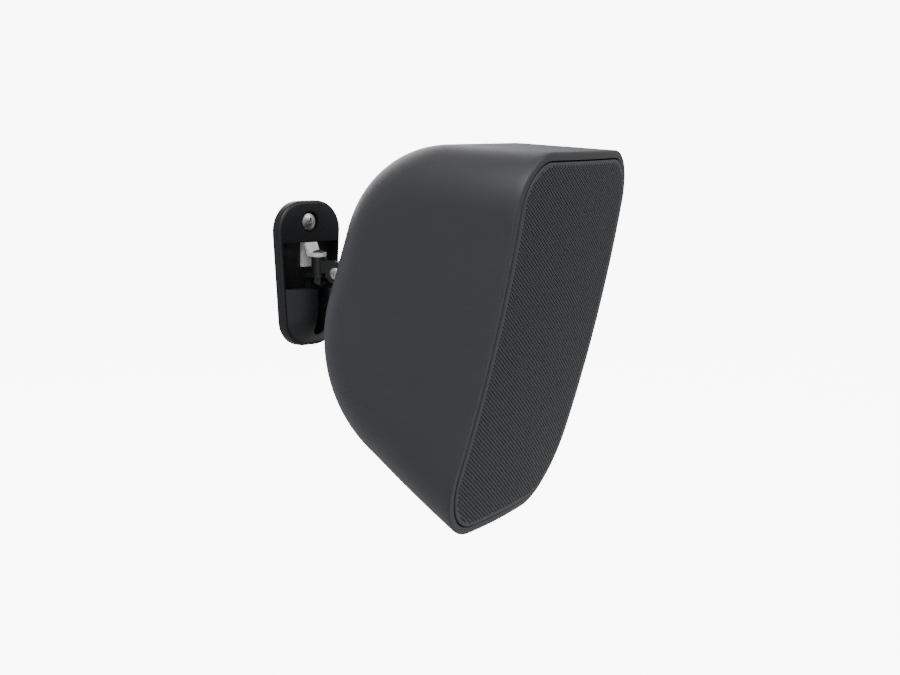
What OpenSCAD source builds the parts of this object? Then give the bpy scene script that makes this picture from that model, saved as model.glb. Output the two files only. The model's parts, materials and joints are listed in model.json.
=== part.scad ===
// Compact two-way wall loudspeaker on a pan and tilt bracket.
// Origin: middle of the bracket's back face, on the wall. The wall is the XZ
// plane, the loudspeaker stands out along -Y, and +Z is up. Millimetres.
// The cabinet is drawn in its own frame (x across, y backwards, z up, front at
// y = 0) and is hung on the bracket at the panned and tilted pose of the photo.

/* [Cabinet] */
// Width across the front
cabinet_w = 172; // [168:1:190]
// Height across the front edges
cabinet_h = 239; // [236:0.5:256]
// Depth from the front corners to the back, at mid height
cabinet_d = 121.5; // [116:0.5:140]
// Fall of the roof towards the back, degrees
roof_slope = 10.5; // [6:0.1:13]
// Rise of the underside towards the back, degrees
floor_slope = 21.9; // [18:0.1:24]
// Lean of the back face, degrees
back_lean = 3.9; // [1:0.1:6]
// Radius where the roof turns into the back
shoulder_r = 71.5; // [55:0.5:78]
// Radius where the back turns into the underside
heel_r = 90; // [70:0.5:92]
// Radius of the long side edges on the roof
roof_edge_r = 35.5; // [28:0.5:40]
// Radius of the long side edges on the underside
floor_edge_r = 48.4; // [40:0.1:50]
// Radius of the side edges on the back
back_edge_r = 21.2; // [14:0.1:26]
// Share of the width lost at the back
back_taper = 0.29; // [0.1:0.005:0.32]
// Moulded wall
wall = 3; // [2.5:0.1:3.4]
// Forward bow of the front across its width
bow_x = 4; // [2:0.1:8]
// Forward bow of the front over its height
bow_z = 6; // [4:0.1:9]

/* [Front] */
// Rim left round the grille
rim_w = 5; // [4.4:0.1:6]
// Depth of the grille pocket behind the bowed front
pocket_depth = 9; // [8:0.1:11]
// Grille sheet
grille_t = 1; // [0.8:0.1:1.2]
// Gap round the grille
grille_gap = 0.8; // [0.4:0.1:1.2]
// How far the grille stands proud of the rim
grille_proud = 0.4; // [0:0.1:1]
// Cloth behind the grille
cloth_t = 0.6; // [0.4:0.1:1]
// Front face of the baffle behind the front corners
baffle_y = 8; // [7:0.1:9]
// Baffle board
baffle_t = 5; // [4:0.1:6]
// Width of the ledge under the baffle
ledge_w = 8; // [7:0.1:9]
// Thickness of the ledge
ledge_t = 4; // [3:0.1:5]

/* [Drivers] */
// Outer diameter of the woofer frame
woofer_d = 126; // [122:0.5:128]
// Baffle cut-out for the woofer
woofer_cutout = 114; // [112.6:0.1:115]
// Height of the woofer axis
woofer_z = -38; // [-39:0.5:-36]
// Diameter of the moving cone
cone_d = 94.8; // [90:0.2:95.4]
// Voice coil former, outside diameter
coil_d = 27; // [25:0.1:27.4]
// Outer diameter of the tweeter faceplate
tweeter_d = 66; // [60:0.5:68]
// Height of the tweeter axis
tweeter_z = 62; // [60:0.5:64]
// Inside diameter of the two port tubes
port_d = 20; // [16:0.5:21]
// Length of the port tubes behind the baffle
port_l = 58; // [30:1:62]

/* [Bracket] */
// Width of the wall base
base_w = 56; // [52:0.5:62]
// Height of the wall base
base_h = 96; // [92:0.5:110]
// Thickness of the wall base at its edge
base_t = 7; // [6.4:0.1:8.4]
// How far the lower half bulges beyond that
base_bulge = 13; // [8:0.1:13.5]
// Steel back plate
plate_t = 2; // [1.6:0.1:2.2]
// Spacing of the two wall screw holes
wall_hole_spacing = 30; // [28:0.5:36]
// Diameter of the wall screw holes
wall_hole_d = 5.5; // [4.5:0.1:6.5]
// Pan axis, distance from the wall
pan_d = 15; // [14.6:0.1:17]
// Pan axis to tilt axis
link = 19; // [18.6:0.1:24]
// Height of the tilt axis above the middle of the base
pivot_z = 2; // [1:0.1:3]
// Tilt axis behind the cabinet's back face
tilt_back = 20.2; // [20:0.1:26]
// Tilt axis, height in the cabinet's frame
tilt_z = 1; // [-4:0.1:3]
// Diameter of the pan bolt
pan_bolt_d = 6; // [5:0.1:6.4]
// Diameter of the tilt bolt
tilt_bolt_d = 5; // [4:0.1:6]

/* [Pose at rest] */
// Pan to the right, degrees
rest_pan = 18; // [0:1:24]
// Tilt down, degrees
rest_tilt = 14.3; // [0:0.1:20]

/* [Hidden] */
$fn = 96;
fit = 0.1;
running = 0.06;
free = 0.3;
front_y = -bow_x - bow_z - 6;
ledge_y = baffle_y + baffle_t;
cavity_y = ledge_y + ledge_t;
seat_w = 1.5;
pocket_inset = rim_w + seat_w;
baffle_inset = pocket_inset + free;
ledge_inset = rim_w + ledge_w;
screw_inset = (baffle_inset + ledge_inset) / 2;

// Frames

module at_pan() translate([0, -pan_d, pivot_z]) rotate([0, 0, rest_pan]) children();

module at_tilt() at_pan() translate([0, -link, 0]) rotate([rest_tilt, 0, 0]) children();

module in_cabinet() at_tilt() translate([0, -tilt_y, -tilt_z]) children();

// A turned part on an axis across the front: z runs backwards from the baffle face
module axial(z0, y0 = baffle_y, x0 = 0) translate([x0, y0, z0]) rotate([-90, 0, 0]) children();

// The cabinet's back face: y points out of it, z runs up it
module on_back(z0) translate([0, back_y(z0), z0]) rotate([back_lean, 0, 0]) children();

// Cabinet form. The side profile is a roof, a back and an underside joined by
// two large radii; each point carries its outward normal as [y, z, ny, nz].

function roof_z(y) = cabinet_h / 2 - tan(roof_slope) * y;
function floor_z(y) = -cabinet_h / 2 + tan(floor_slope) * y;
function back_y(z) = cabinet_d - tan(back_lean) * z;
tilt_y = back_y(tilt_z) + tilt_back;

roof_corner_y = (cabinet_d - tan(back_lean) * cabinet_h / 2) / (1 - tan(back_lean) * tan(roof_slope));
roof_corner = [roof_corner_y, roof_z(roof_corner_y)];
heel_corner_y = (cabinet_d + tan(back_lean) * cabinet_h / 2) / (1 + tan(back_lean) * tan(floor_slope));
heel_corner = [heel_corner_y, floor_z(heel_corner_y)];
roof_a = 90 - roof_slope;
floor_a = floor_slope - 90;

function unit(a) = [cos(a), sin(a)];
function arc_centre(corner, a, b, r) =
    corner - (unit(a) + unit(b)) * r / (1 + unit(a) * unit(b));
shoulder_c = arc_centre(roof_corner, roof_a, back_lean, shoulder_r);
heel_c = arc_centre(heel_corner, back_lean, floor_a, heel_r);

function arc(c, r, a, b, n) = [for (i = [0:n]) let (t = a + (b - a) * i / n)
    [c.x + r * cos(t), c.y + r * sin(t), cos(t), sin(t)]];

roof_steps = 4;
arc_steps = 9;
front_steps = 5;
side_steps = 4;
edge_steps = 7;

profile = concat(
    [for (i = [0:roof_steps - 1])
        let (y = front_y + ((shoulder_c + shoulder_r * unit(roof_a)).x - front_y) * i / roof_steps)
        [y, roof_z(y), cos(roof_a), sin(roof_a)]],
    arc(shoulder_c, shoulder_r, roof_a, back_lean, arc_steps),
    arc(heel_c, heel_r, back_lean, floor_a, arc_steps),
    [for (i = [roof_steps - 1:-1:0])
        let (y = front_y + ((heel_c + heel_r * unit(floor_a)).x - front_y) * i / roof_steps)
        [y, floor_z(y), cos(floor_a), sin(floor_a)]]);

// Edge radius by the direction that the profile faces
function edge_r(nz) = back_edge_r + (nz > 0 ? (roof_edge_r - back_edge_r) * nz * nz
    : (floor_edge_r - back_edge_r) * nz * nz);
function taper(y) = 1 - back_taper * pow(min(max(y / cabinet_d, 0), 1.05), 2);

// Point of the skin: p is a profile point, a runs from 0 on the crown to 90 on the side
function skin(p, a, inset) = let (
    r = edge_r(p[3]) - inset,
    d = inset + r * (1 - cos(a)),
    y = p[0] - p[2] * d)
    [(cabinet_w / 2 - inset - r * (1 - sin(a))) * taper(y), y, p[1] - p[3] * d];

function mix(a, b, t) = a + (b - a) * t;

// One closed loop round the cabinet at edge angle a
function loop(a, inset) = let (
    open = [for (p = profile) skin(p, a, inset)],
    first = open[0],
    last = open[len(open) - 1])
    concat(open, [for (i = [1:front_steps - 1]) mix(last, first, i / front_steps)]);

side_pole = [45, 0];

// Loops shrinking over the side panel to its pole
function side_loop(f, inset) = [for (q = loop(90, inset))
    let (y = mix(side_pole.x, q.y, f))
    [(cabinet_w / 2 - inset) * taper(y), y, mix(side_pole.y, q.z, f)]];

function mirrored(pts) = [for (q = pts) [-q.x, q.y, q.z]];

function right_loops(inset) = concat(
    [for (i = [0:edge_steps]) loop(90 * i / edge_steps, inset)],
    [for (i = [side_steps - 1:-1:1]) side_loop(i / side_steps, inset)]);

// Skin of the cabinet, moved inwards by inset
module cabinet_skin(inset = 0) {
    right = right_loops(inset);
    count = len(right);
    loops = concat([for (i = [count - 1:-1:0]) mirrored(right[i])], right);
    n = len(loops[0]);
    m = len(loops);
    pole_x = (cabinet_w / 2 - inset) * taper(side_pole.x);
    points = concat([for (l = loops) each l],
        [[-pole_x, side_pole.x, side_pole.y], [pole_x, side_pole.x, side_pole.y]]);
    faces = concat(
        [for (j = [0:m - 2]) for (i = [0:n - 1]) let (k = (i + 1) % n)
            each [[j * n + i, j * n + k, (j + 1) * n + k], [j * n + i, (j + 1) * n + k, (j + 1) * n + i]]],
        [for (i = [0:n - 1]) [m * n, (i + 1) % n, i]],
        [for (i = [0:n - 1]) [m * n + 1, (m - 1) * n + i, (m - 1) * n + (i + 1) % n]]);
    polyhedron(points, faces, convexity = 6);
}

// Outline of the cabinet in the plane at y, moved inwards by inset, as [x, z]
function section(y, inset) = let (
    up = [for (i = [0:edge_steps]) let (a = 90 * i / edge_steps, r = roof_edge_r - inset)
        [(cabinet_w / 2 - inset - r * (1 - sin(a))) * taper(y),
            roof_z(y) - (inset + r * (1 - cos(a))) / cos(roof_slope)]],
    down = [for (i = [edge_steps:-1:0]) let (a = 90 * i / edge_steps, r = floor_edge_r - inset)
        [(cabinet_w / 2 - inset - r * (1 - sin(a))) * taper(y),
            floor_z(y) + (inset + r * (1 - cos(a))) / cos(floor_slope)]])
    concat(up, down, [for (i = [len(down) - 1:-1:0]) [-down[i].x, down[i].y]],
        [for (i = [len(up) - 1:-1:0]) [-up[i].x, up[i].y]]);

// Solid between two planes whose sides run parallel to the cabinet's walls
module slice(inset, y0, y1) {
    a = section(y0, inset);
    b = section(y1, inset);
    n = len(a);
    points = concat([for (q = a) [q.x, y0, q.y]], [for (q = b) [q.x, y1, q.y]]);
    faces = concat([[for (i = [0:n - 1]) i]], [[for (i = [n - 1:-1:0]) n + i]],
        [for (i = [0:n - 1]) let (k = (i + 1) % n) each [[i, n + k, k], [i, n + i, n + k]]]);
    polyhedron(points, faces, convexity = 2);
}

// Upright walls of the front opening, parallel to the cabinet's own
module front_prism(inset) slice(inset, front_y - 20, ledge_y + 1);

// Everything behind the bowed front, moved back by shift
front_cols = 12;
front_rows = 14;
function bow(x, z) = -bow_x * (1 - pow(2 * x / cabinet_w, 2)) - bow_z * (1 - pow(2 * z / cabinet_h, 2));

module behind_front(shift = 0) {
    half_w = cabinet_w / 2 + 8;
    half_h = cabinet_h / 2 + 12;
    back = cabinet_d + 40;
    n = front_cols + 1;
    count = n * (front_rows + 1);
    front = [for (j = [0:front_rows]) for (i = [0:front_cols])
        let (x = mix(-half_w, half_w, i / front_cols), z = mix(-half_h, half_h, j / front_rows))
        [x, bow(x, z) + shift, z]];
    corners = [[-half_w, back, -half_h], [half_w, back, -half_h], [half_w, back, half_h], [-half_w, back, half_h]];
    faces = concat(
        [for (j = [0:front_rows - 1]) for (i = [0:front_cols - 1]) let (a = j * n + i)
            each [[a, a + n, a + n + 1], [a, a + n + 1, a + 1]]],
        [[for (i = [0:front_cols]) i, count + 1, count]],
        [[for (i = [front_cols:-1:0]) front_rows * n + i, count + 3, count + 2]],
        [[for (j = [front_rows:-1:0]) j * n, count, count + 3]],
        [[for (j = [0:front_rows]) j * n + front_cols, count + 2, count + 1]],
        [[count, count + 1, count + 2, count + 3]]);
    polyhedron(concat(front, corners), faces, convexity = 2);
}

// Turned ring: radii r0 to r1, from z0 back to z1
module ring(r0, r1, z0, z1) translate([0, 0, z0]) difference() {
    cylinder(r = r1, h = z1 - z0);
    translate([0, 0, -1]) cylinder(r = r0, h = z1 - z0 + 2);
}

// Pan head screw: head above z = 0, shank below, cross recess
module screw(d, l, head_d, head_h) difference() {
    union() {
        intersection() {
            cylinder(r = head_d / 2, h = head_h);
            translate([0, 0, head_h - head_d * 0.9]) sphere(r = head_d * 0.9);
        }
        translate([0, 0, -l]) cylinder(r = d / 2, h = l + 0.01);
    }
    for (a = [0, 90]) rotate([0, 0, a]) translate([-head_d * 0.26, -head_d * 0.06, head_h * 0.45])
        cube([head_d * 0.52, head_d * 0.12, head_h]);
}

// Places of the screws

baffle_screw_places = [
    for (s = [-1, 1]) each [
        [s * (cabinet_w / 2 - screw_inset), 36],
        [s * (cabinet_w / 2 - screw_inset), -44],
        [s * 32, roof_z(ledge_y) - screw_inset],
        [s * 46, floor_z(ledge_y) + screw_inset / cos(floor_slope)]]];

woofer_screw_r = woofer_d / 4 + woofer_cutout / 4;
tweeter_screw_r = tweeter_d / 2 - 5;

// Cabinet

baffle_screw_d = 3.5;
boss_d = 7;
boss_l = 10;
insert_d = 7;
insert_l = 9;
insert_boss_d = 12;
insert_boss_l = 14;
yoke_z = 12;
yoke_screw_x = 16.6;
yoke_screw_z = 16;
yoke_screw_d = 4.8;
bay_w = 50;
bay_h = 40;
bay_z = -46;
bay_y = 98;
bay_floor = 3;
bay_hole_w = 34;
bay_hole_h = 24;
post_x = 27;
post_z = 15;
post_d = 7;
board_gap = 8;

module yoke_bolts() on_back(yoke_z) for (sx = [-1, 1]) for (sz = [-1, 1])
    translate([sx * yoke_screw_x, 0, sz * yoke_screw_z]) children();

module bay_box(grow, y0) translate([-bay_w / 2 - grow, y0, bay_z - bay_h / 2 - grow])
    cube([bay_w + 2 * grow, cabinet_d, bay_h + 2 * grow]);

module board_posts() for (sx = [-1, 1]) for (sz = [-1, 1])
    translate([sx * post_x, bay_y - bay_floor, bay_z + sz * post_z]) children();

module housing() color("#3f4145") in_cabinet() difference() {
    union() {
        difference() {
            intersection() {
                cabinet_skin(0);
                behind_front(0);
            }
            intersection() {
                cabinet_skin(wall);
                translate([-cabinet_w, cavity_y, -cabinet_h]) cube([2 * cabinet_w, 2 * cabinet_d, 2 * cabinet_h]);
            }
            difference() {
                front_prism(rim_w);
                behind_front(pocket_depth);
            }
            slice(pocket_inset, front_y - 20, ledge_y);
            slice(ledge_inset, ledge_y - 1, cavity_y + 1);
        }
        for (q = baffle_screw_places) translate([q.x, cavity_y - 1, q.y]) rotate([-90, 0, 0])
            cylinder(d = boss_d, h = boss_l + 1);
        yoke_bolts() rotate([90, 0, 0]) translate([0, 0, wall - 1])
            cylinder(d = insert_boss_d, h = insert_boss_l);
        intersection() {
            cabinet_skin(1);
            bay_box(wall, bay_y - bay_floor);
        }
        board_posts() rotate([90, 0, 0]) translate([0, 0, -1]) cylinder(d = post_d, h = board_gap + 1);
    }
    bay_box(0, bay_y);
    translate([-bay_hole_w / 2, bay_y - 10, bay_z - bay_hole_h / 2]) cube([bay_hole_w, 20, bay_hole_h]);
    for (q = baffle_screw_places) translate([q.x, ledge_y - 1, q.y]) rotate([-90, 0, 0])
        cylinder(d = baffle_screw_d - 0.6, h = boss_l + ledge_t);
    yoke_bolts() rotate([90, 0, 0]) {
        translate([0, 0, -1]) cylinder(d = yoke_screw_d + 0.5, h = wall + 3);
        translate([0, 0, wall]) cylinder(d = insert_d + 2 * fit, h = insert_boss_l);
    }
    board_posts() rotate([90, 0, 0]) translate([0, 0, 1]) cylinder(d = 2.4, h = board_gap);
    terminal_bolts() rotate([-90, 0, 0]) translate([0, 0, -5]) cylinder(d = 2.4, h = 10);
}

module front_baffle() color("#26272a") in_cabinet() difference() {
    slice(baffle_inset, baffle_y, ledge_y - fit / 2);
    axial(woofer_z) translate([0, 0, -1]) cylinder(d = woofer_cutout, h = baffle_t + 2);
    axial(tweeter_z) translate([0, 0, -1]) cylinder(d = tweeter_hole_d, h = baffle_t + 2);
    for (s = [-1, 1]) axial(port_z, x0 = s * port_x) translate([0, 0, -1])
        cylinder(d = port_d + 2 * port_t + 2 * fit, h = baffle_t + 2);
    for (q = baffle_screw_places) axial(q.y, x0 = q.x) translate([0, 0, -1])
        cylinder(d = baffle_screw_d + 0.4, h = baffle_t + 2);
    woofer_bolts() translate([0, 0, -1]) cylinder(d = 3, h = baffle_t + 2);
    tweeter_bolts() translate([0, 0, -1]) cylinder(d = 2.6, h = baffle_t + 2);
}

module baffle_screws() color("#1c1c1e") in_cabinet() for (q = baffle_screw_places)
    axial(q.y, x0 = q.x) mirror([0, 0, 1]) screw(baffle_screw_d - 0.7, baffle_t + 7, 5.8, 2.2);

module grille() color("#303236") in_cabinet() difference() {
    intersection() {
        front_prism(rim_w + grille_gap);
        behind_front(-grille_proud);
    }
    intersection() {
        front_prism(rim_w + grille_gap + grille_t);
        behind_front(grille_t - grille_proud);
    }
    behind_front(pocket_depth - fit);
    translate([-cabinet_w, baffle_y - 2.4, -cabinet_h]) cube([2 * cabinet_w, cabinet_d, 2 * cabinet_h]);
}

module grille_cloth() color("#101012") in_cabinet() difference() {
    intersection() {
        front_prism(rim_w + grille_gap + grille_t + fit);
        behind_front(grille_t - grille_proud + fit);
    }
    behind_front(grille_t - grille_proud + fit + cloth_t);
}

// Woofer, z runs backwards from the baffle face

flange_t = 2;
cone_depth = 24;
seat_z = 36;
seat_t = 2;
top_plate_t = 4;
magnet_t = 15;
yoke_t = 4;
magnet_d = 80;
cone_r = cone_d / 2;
coil_r = coil_d / 2;
roll_r = (woofer_cutout / 2 - 2.5 - cone_r - free) / 2;
roll_c = cone_r + free + roll_r;
plate_z = seat_z + seat_t;
magnet_z = plate_z + top_plate_t;
yoke_back_z = magnet_z + magnet_t;

module woofer_bolts() for (i = [0:3]) axial(woofer_z) rotate([0, 0, 45 + 90 * i])
    translate([woofer_screw_r, 0, 0]) children();

frame_r = woofer_cutout / 2 - 0.5;
frame_seat_r = 37;
frame_lip = 5;

module woofer_frame() color("#55585c") in_cabinet() {
    t = 1.6;
    difference() {
        axial(woofer_z) rotate_extrude() union() {
            polygon([[frame_r - 2, -flange_t], [woofer_d / 2, -flange_t], [woofer_d / 2, 0], [frame_r, 0],
                [frame_r, frame_lip], [frame_seat_r, seat_z - 6], [frame_seat_r, plate_z], [coil_r + 3, plate_z],
                [coil_r + 3, seat_z], [frame_seat_r - t, seat_z], [frame_seat_r - t, seat_z - 6],
                [frame_r - 2, frame_lip - 0.5]]);
            translate([29, seat_z - 5]) square([frame_seat_r - 29 - t / 2, 5.5]);
        }
        for (i = [0:5]) axial(woofer_z) rotate([0, 0, 60 * i]) translate([frame_seat_r + 3, -13, 8])
            cube([40, 26, 19]);
        woofer_bolts() translate([0, 0, -flange_t - 1]) cylinder(d = 4.3, h = 5);
    }
}

module woofer_gasket() color("#1a1a1b") in_cabinet() axial(woofer_z)
    ring(roll_c + roll_r + 0.5, woofer_screw_r - 3.6, -flange_t - 3, -flange_t - 0.9);

module woofer_screws() color("#2a2b2d") in_cabinet() woofer_bolts()
    translate([0, 0, -flange_t]) mirror([0, 0, 1]) screw(2.8, 10, 7, 2.2);

module woofer_top_plate() color("#8d9196") in_cabinet() axial(woofer_z)
    ring(coil_r + 1.3, 36.5, plate_z, magnet_z);

module woofer_magnet() color("#2b2b2e") in_cabinet() axial(woofer_z)
    ring(22, magnet_d / 2, magnet_z, yoke_back_z);

module woofer_yoke() color("#85898e") in_cabinet() axial(woofer_z) difference() {
    union() {
        translate([0, 0, yoke_back_z]) cylinder(r = 36, h = yoke_t);
        translate([0, 0, plate_z - 1]) cylinder(r = coil_r - 1.1, h = yoke_back_z - plate_z + 1.01);
    }
    translate([0, 0, plate_z - 2]) cylinder(r = 4, h = yoke_back_z);
}

module woofer_cone() color("#1d1d20") in_cabinet() axial(woofer_z) rotate_extrude()
    polygon([[coil_r + fit, cone_depth - 1], [cone_r - 2, -0.4], [cone_r, -0.4], [cone_r, 0.6],
        [cone_r - 1.6, 0.9], [coil_r + 1.4, cone_depth + 1], [coil_r + fit, cone_depth + 1]]);

module woofer_dust_cap() color("#232327") in_cabinet() axial(woofer_z) {
    cap_r = 19;
    rise = 8;
    ball_r = (cap_r * cap_r + rise * rise) / (2 * rise);
    rim_z = cone_depth - 1 - (cone_depth - 0.6) * (cap_r - coil_r) / (cone_r - 2 - coil_r) - 0.15;
    translate([0, 0, rim_z]) intersection() {
        translate([0, 0, ball_r - rise]) difference() {
            sphere(r = ball_r);
            sphere(r = ball_r - 0.6);
        }
        translate([0, 0, -rise - 1]) cylinder(r = cap_r + 1, h = rise + 1);
    }
}

module voice_coil() color("#b0703a") in_cabinet() axial(woofer_z) rotate_extrude()
    polygon([[coil_r - 0.5, cone_depth - 1.4], [coil_r, cone_depth - 1.4], [coil_r, plate_z - 2],
        [coil_r + 0.7, plate_z - 2], [coil_r + 0.7, magnet_z + 2], [coil_r, magnet_z + 2],
        [coil_r, magnet_z + 5], [coil_r - 0.5, magnet_z + 5]]);

module woofer_surround() color("#161617") in_cabinet() axial(woofer_z) rotate_extrude() union() {
    intersection() {
        translate([roll_c, -flange_t + 1.4]) difference() {
            circle(r = roll_r, $fn = 48);
            circle(r = roll_r - 0.8, $fn = 48);
        }
        translate([0, -flange_t - 10]) square([woofer_d, 11.4]);
    }
    translate([roll_c + roll_r - 1, -flange_t - 0.8]) square([woofer_screw_r - 3.6 - roll_c - roll_r + 1, 0.7]);
}

module woofer_spider() color("#c9a35c") in_cabinet() axial(woofer_z) rotate_extrude() {
    spider_z = seat_z - 5.9;
    waves = 4;
    pitch = (29 - coil_r - 1.5) / waves;
    translate([coil_r + 0.4, spider_z]) square([1.2, 0.8]);
    for (i = [0:waves - 1]) translate([coil_r + 1.5 + pitch * i, spider_z]) {
        translate([-0.05, -0.6]) square([pitch / 2 + 0.1, 0.8]);
        translate([pitch / 2 - 0.05, 0]) square([pitch / 2 + 0.1, 0.8]);
    }
    translate([29 - 0.1, spider_z]) square([4, 0.8]);
}

// Tweeter

tweeter_hole_d = 48;
dome_r = 12.5;
pot_back = 20;

module tweeter_bolts() for (i = [0:2]) axial(tweeter_z) rotate([0, 0, 90 + 120 * i])
    translate([tweeter_screw_r, 0, 0]) children();

module tweeter_faceplate() color("#1e1f21") in_cabinet() difference() {
    axial(tweeter_z) rotate_extrude() polygon([[dome_r + 2.6, 0.6], [tweeter_d / 2 - 12, -2.5],
        [tweeter_d / 2 - 0.8, -2.5], [tweeter_d / 2, -1.7], [tweeter_d / 2, 0], [tweeter_hole_d / 2 - 0.4, 0],
        [tweeter_hole_d / 2 - 0.4, 5], [dome_r + 2.6, 5]]);
    tweeter_bolts() translate([0, 0, -5]) cylinder(d = 3.4, h = 10);
}

module tweeter_dome() color("#3b3b40") in_cabinet() axial(tweeter_z) {
    rise = 4;
    ball_r = (dome_r * dome_r + rise * rise) / (2 * rise);
    translate([0, 0, 1.5]) intersection() {
        translate([0, 0, ball_r - rise]) difference() {
            sphere(r = ball_r);
            sphere(r = ball_r - 0.5);
        }
        translate([0, 0, -rise - 1]) cylinder(r = dome_r + 1, h = rise + 1.2);
    }
    ring(dome_r - 0.5, dome_r, 1.2, 9);
    ring(dome_r - 0.2, dome_r + 2.2, 1.3, 1.9);
}

module tweeter_pot() color("#7f8388") in_cabinet() axial(tweeter_z) rotate_extrude()
    polygon([[dome_r + 1, 5], [19.3, 5], [19.3, pot_back], [0, pot_back], [0, pot_back - 3], [15.5, pot_back - 3], [15.5, 8.5], [dome_r + 1, 8.5]]);

module tweeter_magnet() color("#a8abae") in_cabinet() axial(tweeter_z)
    translate([0, 0, 5.4]) cylinder(r = dome_r - 1.3, h = pot_back - 3 - 5.4);

module tweeter_screws() color("#2a2b2d") in_cabinet() tweeter_bolts()
    translate([0, 0, -2.5]) mirror([0, 0, 1]) screw(2.4, 9, 5.6, 1.8);

// Bass ports

port_t = 1.6;
port_x = 54;
port_z = 73;

module port_tube(side) color("#1b1b1d") in_cabinet() axial(port_z, x0 = side * port_x) rotate_extrude()
    polygon([[port_d / 2, 0], [port_d / 2 + 2.6, -2.4], [port_d / 2 + port_t + 2.8, -2.4],
        [port_d / 2 + port_t + 2.8, -fit / 2], [port_d / 2 + port_t, -fit / 2],
        [port_d / 2 + port_t, port_l], [port_d / 2, port_l]]);

module port_tube_left() port_tube(-1);

module port_tube_right() port_tube(1);

// Crossover, on four posts behind the terminal bay

board_t = 1.6;
board_y = bay_y - bay_floor - board_gap - board_t;

module on_board(x, z) translate([x, board_y, bay_z + z]) rotate([90, 0, 0]) children();

module crossover_board() color("#2f5d3a") in_cabinet() difference() {
    translate([-post_x - 5, board_y, bay_z - post_z - 5]) cube([2 * post_x + 10, board_t, 2 * post_z + 10]);
    board_posts() rotate([90, 0, 0]) translate([0, 0, board_gap - 2]) cylinder(d = 3.4, h = board_t + 4);
}

module board_screws() color("#9a9da1") in_cabinet() board_posts() rotate([90, 0, 0])
    translate([0, 0, board_gap + board_t]) screw(2.2, board_t + 5, 5, 1.6);

module woofer_inductor() color("#a8642e") in_cabinet() on_board(-9, 0) {
    ring(5, 12, 1.5, 8.5);
    ring(5, 13, 0, 1.5);
    ring(5, 13, 8.5, 10);
}

module tweeter_inductor() color("#a8642e") in_cabinet() on_board(13, -9) {
    ring(2.5, 6.5, 1.2, 6.8);
    ring(2.5, 7.2, 0, 1.2);
    ring(2.5, 7.2, 6.8, 8);
}

module capacitors() color("#2c4a72") in_cabinet() {
    on_board(11, 9) translate([0, 0, 0]) cylinder(d = 10, h = 12.5);
    on_board(24, 3) translate([0, 0, 0]) cylinder(d = 8, h = 11);
}

module resistor() color("#d8d5cc") in_cabinet() on_board(-26, 0) translate([-3, -8, 0]) cube([6, 16, 6]);

// Terminal plate and its two spring levers

terminal_w = 46;
terminal_h = 36;
terminal_t = 2.5;
plug_depth = 6;
terminal_x = 9;
lever_w = 8;
lever_l = 11;
lever_lean = 14;
lever_hub_d = 4.4;
pin_d = 3;
pin_y = bay_y + terminal_t + 2.2;
pin_z = bay_z + 8;

module terminal_bolts() for (sx = [-1, 1]) for (sz = [-1, 1])
    translate([sx * 19.5, bay_y, bay_z + sz * 14.5]) children();

module terminal_plate() color("#222326") in_cabinet() difference() {
    union() {
        translate([-terminal_w / 2, bay_y, bay_z - terminal_h / 2]) cube([terminal_w, terminal_t, terminal_h]);
        translate([-bay_hole_w / 2 + free, bay_y - plug_depth, bay_z - bay_hole_h / 2 + free])
            cube([bay_hole_w - 2 * free, plug_depth + 0.01, bay_hole_h - 2 * free]);
        for (s = [-1, 1]) for (e = [-1, 1])
            translate([s * terminal_x + e * (lever_w / 2 + free + 1) - 1, bay_y, pin_z - 3])
                cube([2, terminal_t + 4.6, 6]);
    }
    for (s = [-1, 1]) {
        translate([s * terminal_x - lever_w / 2 - 3, pin_y, pin_z]) rotate([0, 90, 0])
            cylinder(d = pin_d + 2 * running, h = lever_w + 6);
        translate([s * terminal_x, bay_y - 20, pin_z - 14]) rotate([-90, 0, 0]) cylinder(d = 3, h = 40);
        translate([s * terminal_x - 1.6, bay_y - 8, bay_z - bay_hole_h / 2 + 3]) cube([3.2, 6.5, bay_hole_h - 6]);
    }
    terminal_bolts() rotate([-90, 0, 0]) translate([0, 0, -5]) cylinder(d = 3.2, h = 12);
}

module terminal_screws() color("#8f9296") in_cabinet() terminal_bolts() rotate([-90, 0, 0])
    translate([0, 0, terminal_t]) screw(2.2, terminal_t + 2.6, 5.2, 1.8);

module terminal_lever(side) in_cabinet() translate([side * terminal_x, pin_y, pin_z]) {
    translate([-lever_w / 2 - 1.9, 0, 0]) rotate([0, 90, 0]) cylinder(d = pin_d, h = lever_w + 3.8);
    translate([-lever_w / 2, 0, 0]) rotate([90, 0, 90]) linear_extrude(lever_w) union() {
        circle(d = lever_hub_d);
        rotate(lever_lean) difference() {
            translate([-0.6, -lever_l]) square([2.4, lever_l]);
            for (i = [0:2]) translate([1.4, -lever_l + 1.4 + 2 * i]) square([1, 0.8]);
        }
    }
}

module lever_red() color("#a51f22") terminal_lever(1);

module lever_black() color("#141415") terminal_lever(-1);

module terminal_contacts() color("#c8b273") in_cabinet() for (s = [-1, 1])
    translate([s * terminal_x - 1.4, bay_y - 1.6 - 1, bay_z - 7.5]) {
        cube([2.8, 1, 15]);
        translate([0, -7, 6]) cube([2.8, 7.01, 0.8]);
    }

// Wadding in the upper back of the cabinet

module wadding() color("#d9d6cc") in_cabinet() intersection() {
    cabinet_skin(wall + free);
    translate([-45, 78, 48]) cube([90, 60, 60]);
}

// Leads inside the cabinet

function path_dir(p, i) = let (a = p[max(i - 1, 0)], b = p[min(i + 1, len(p) - 1)]) (b - a) / norm(b - a);
function cut_corners(p) = concat([p[0]],
    [for (i = [0:len(p) - 2]) each [mix(p[i], p[i + 1], 0.25), mix(p[i], p[i + 1], 0.75)]], [p[len(p) - 1]]);

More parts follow.
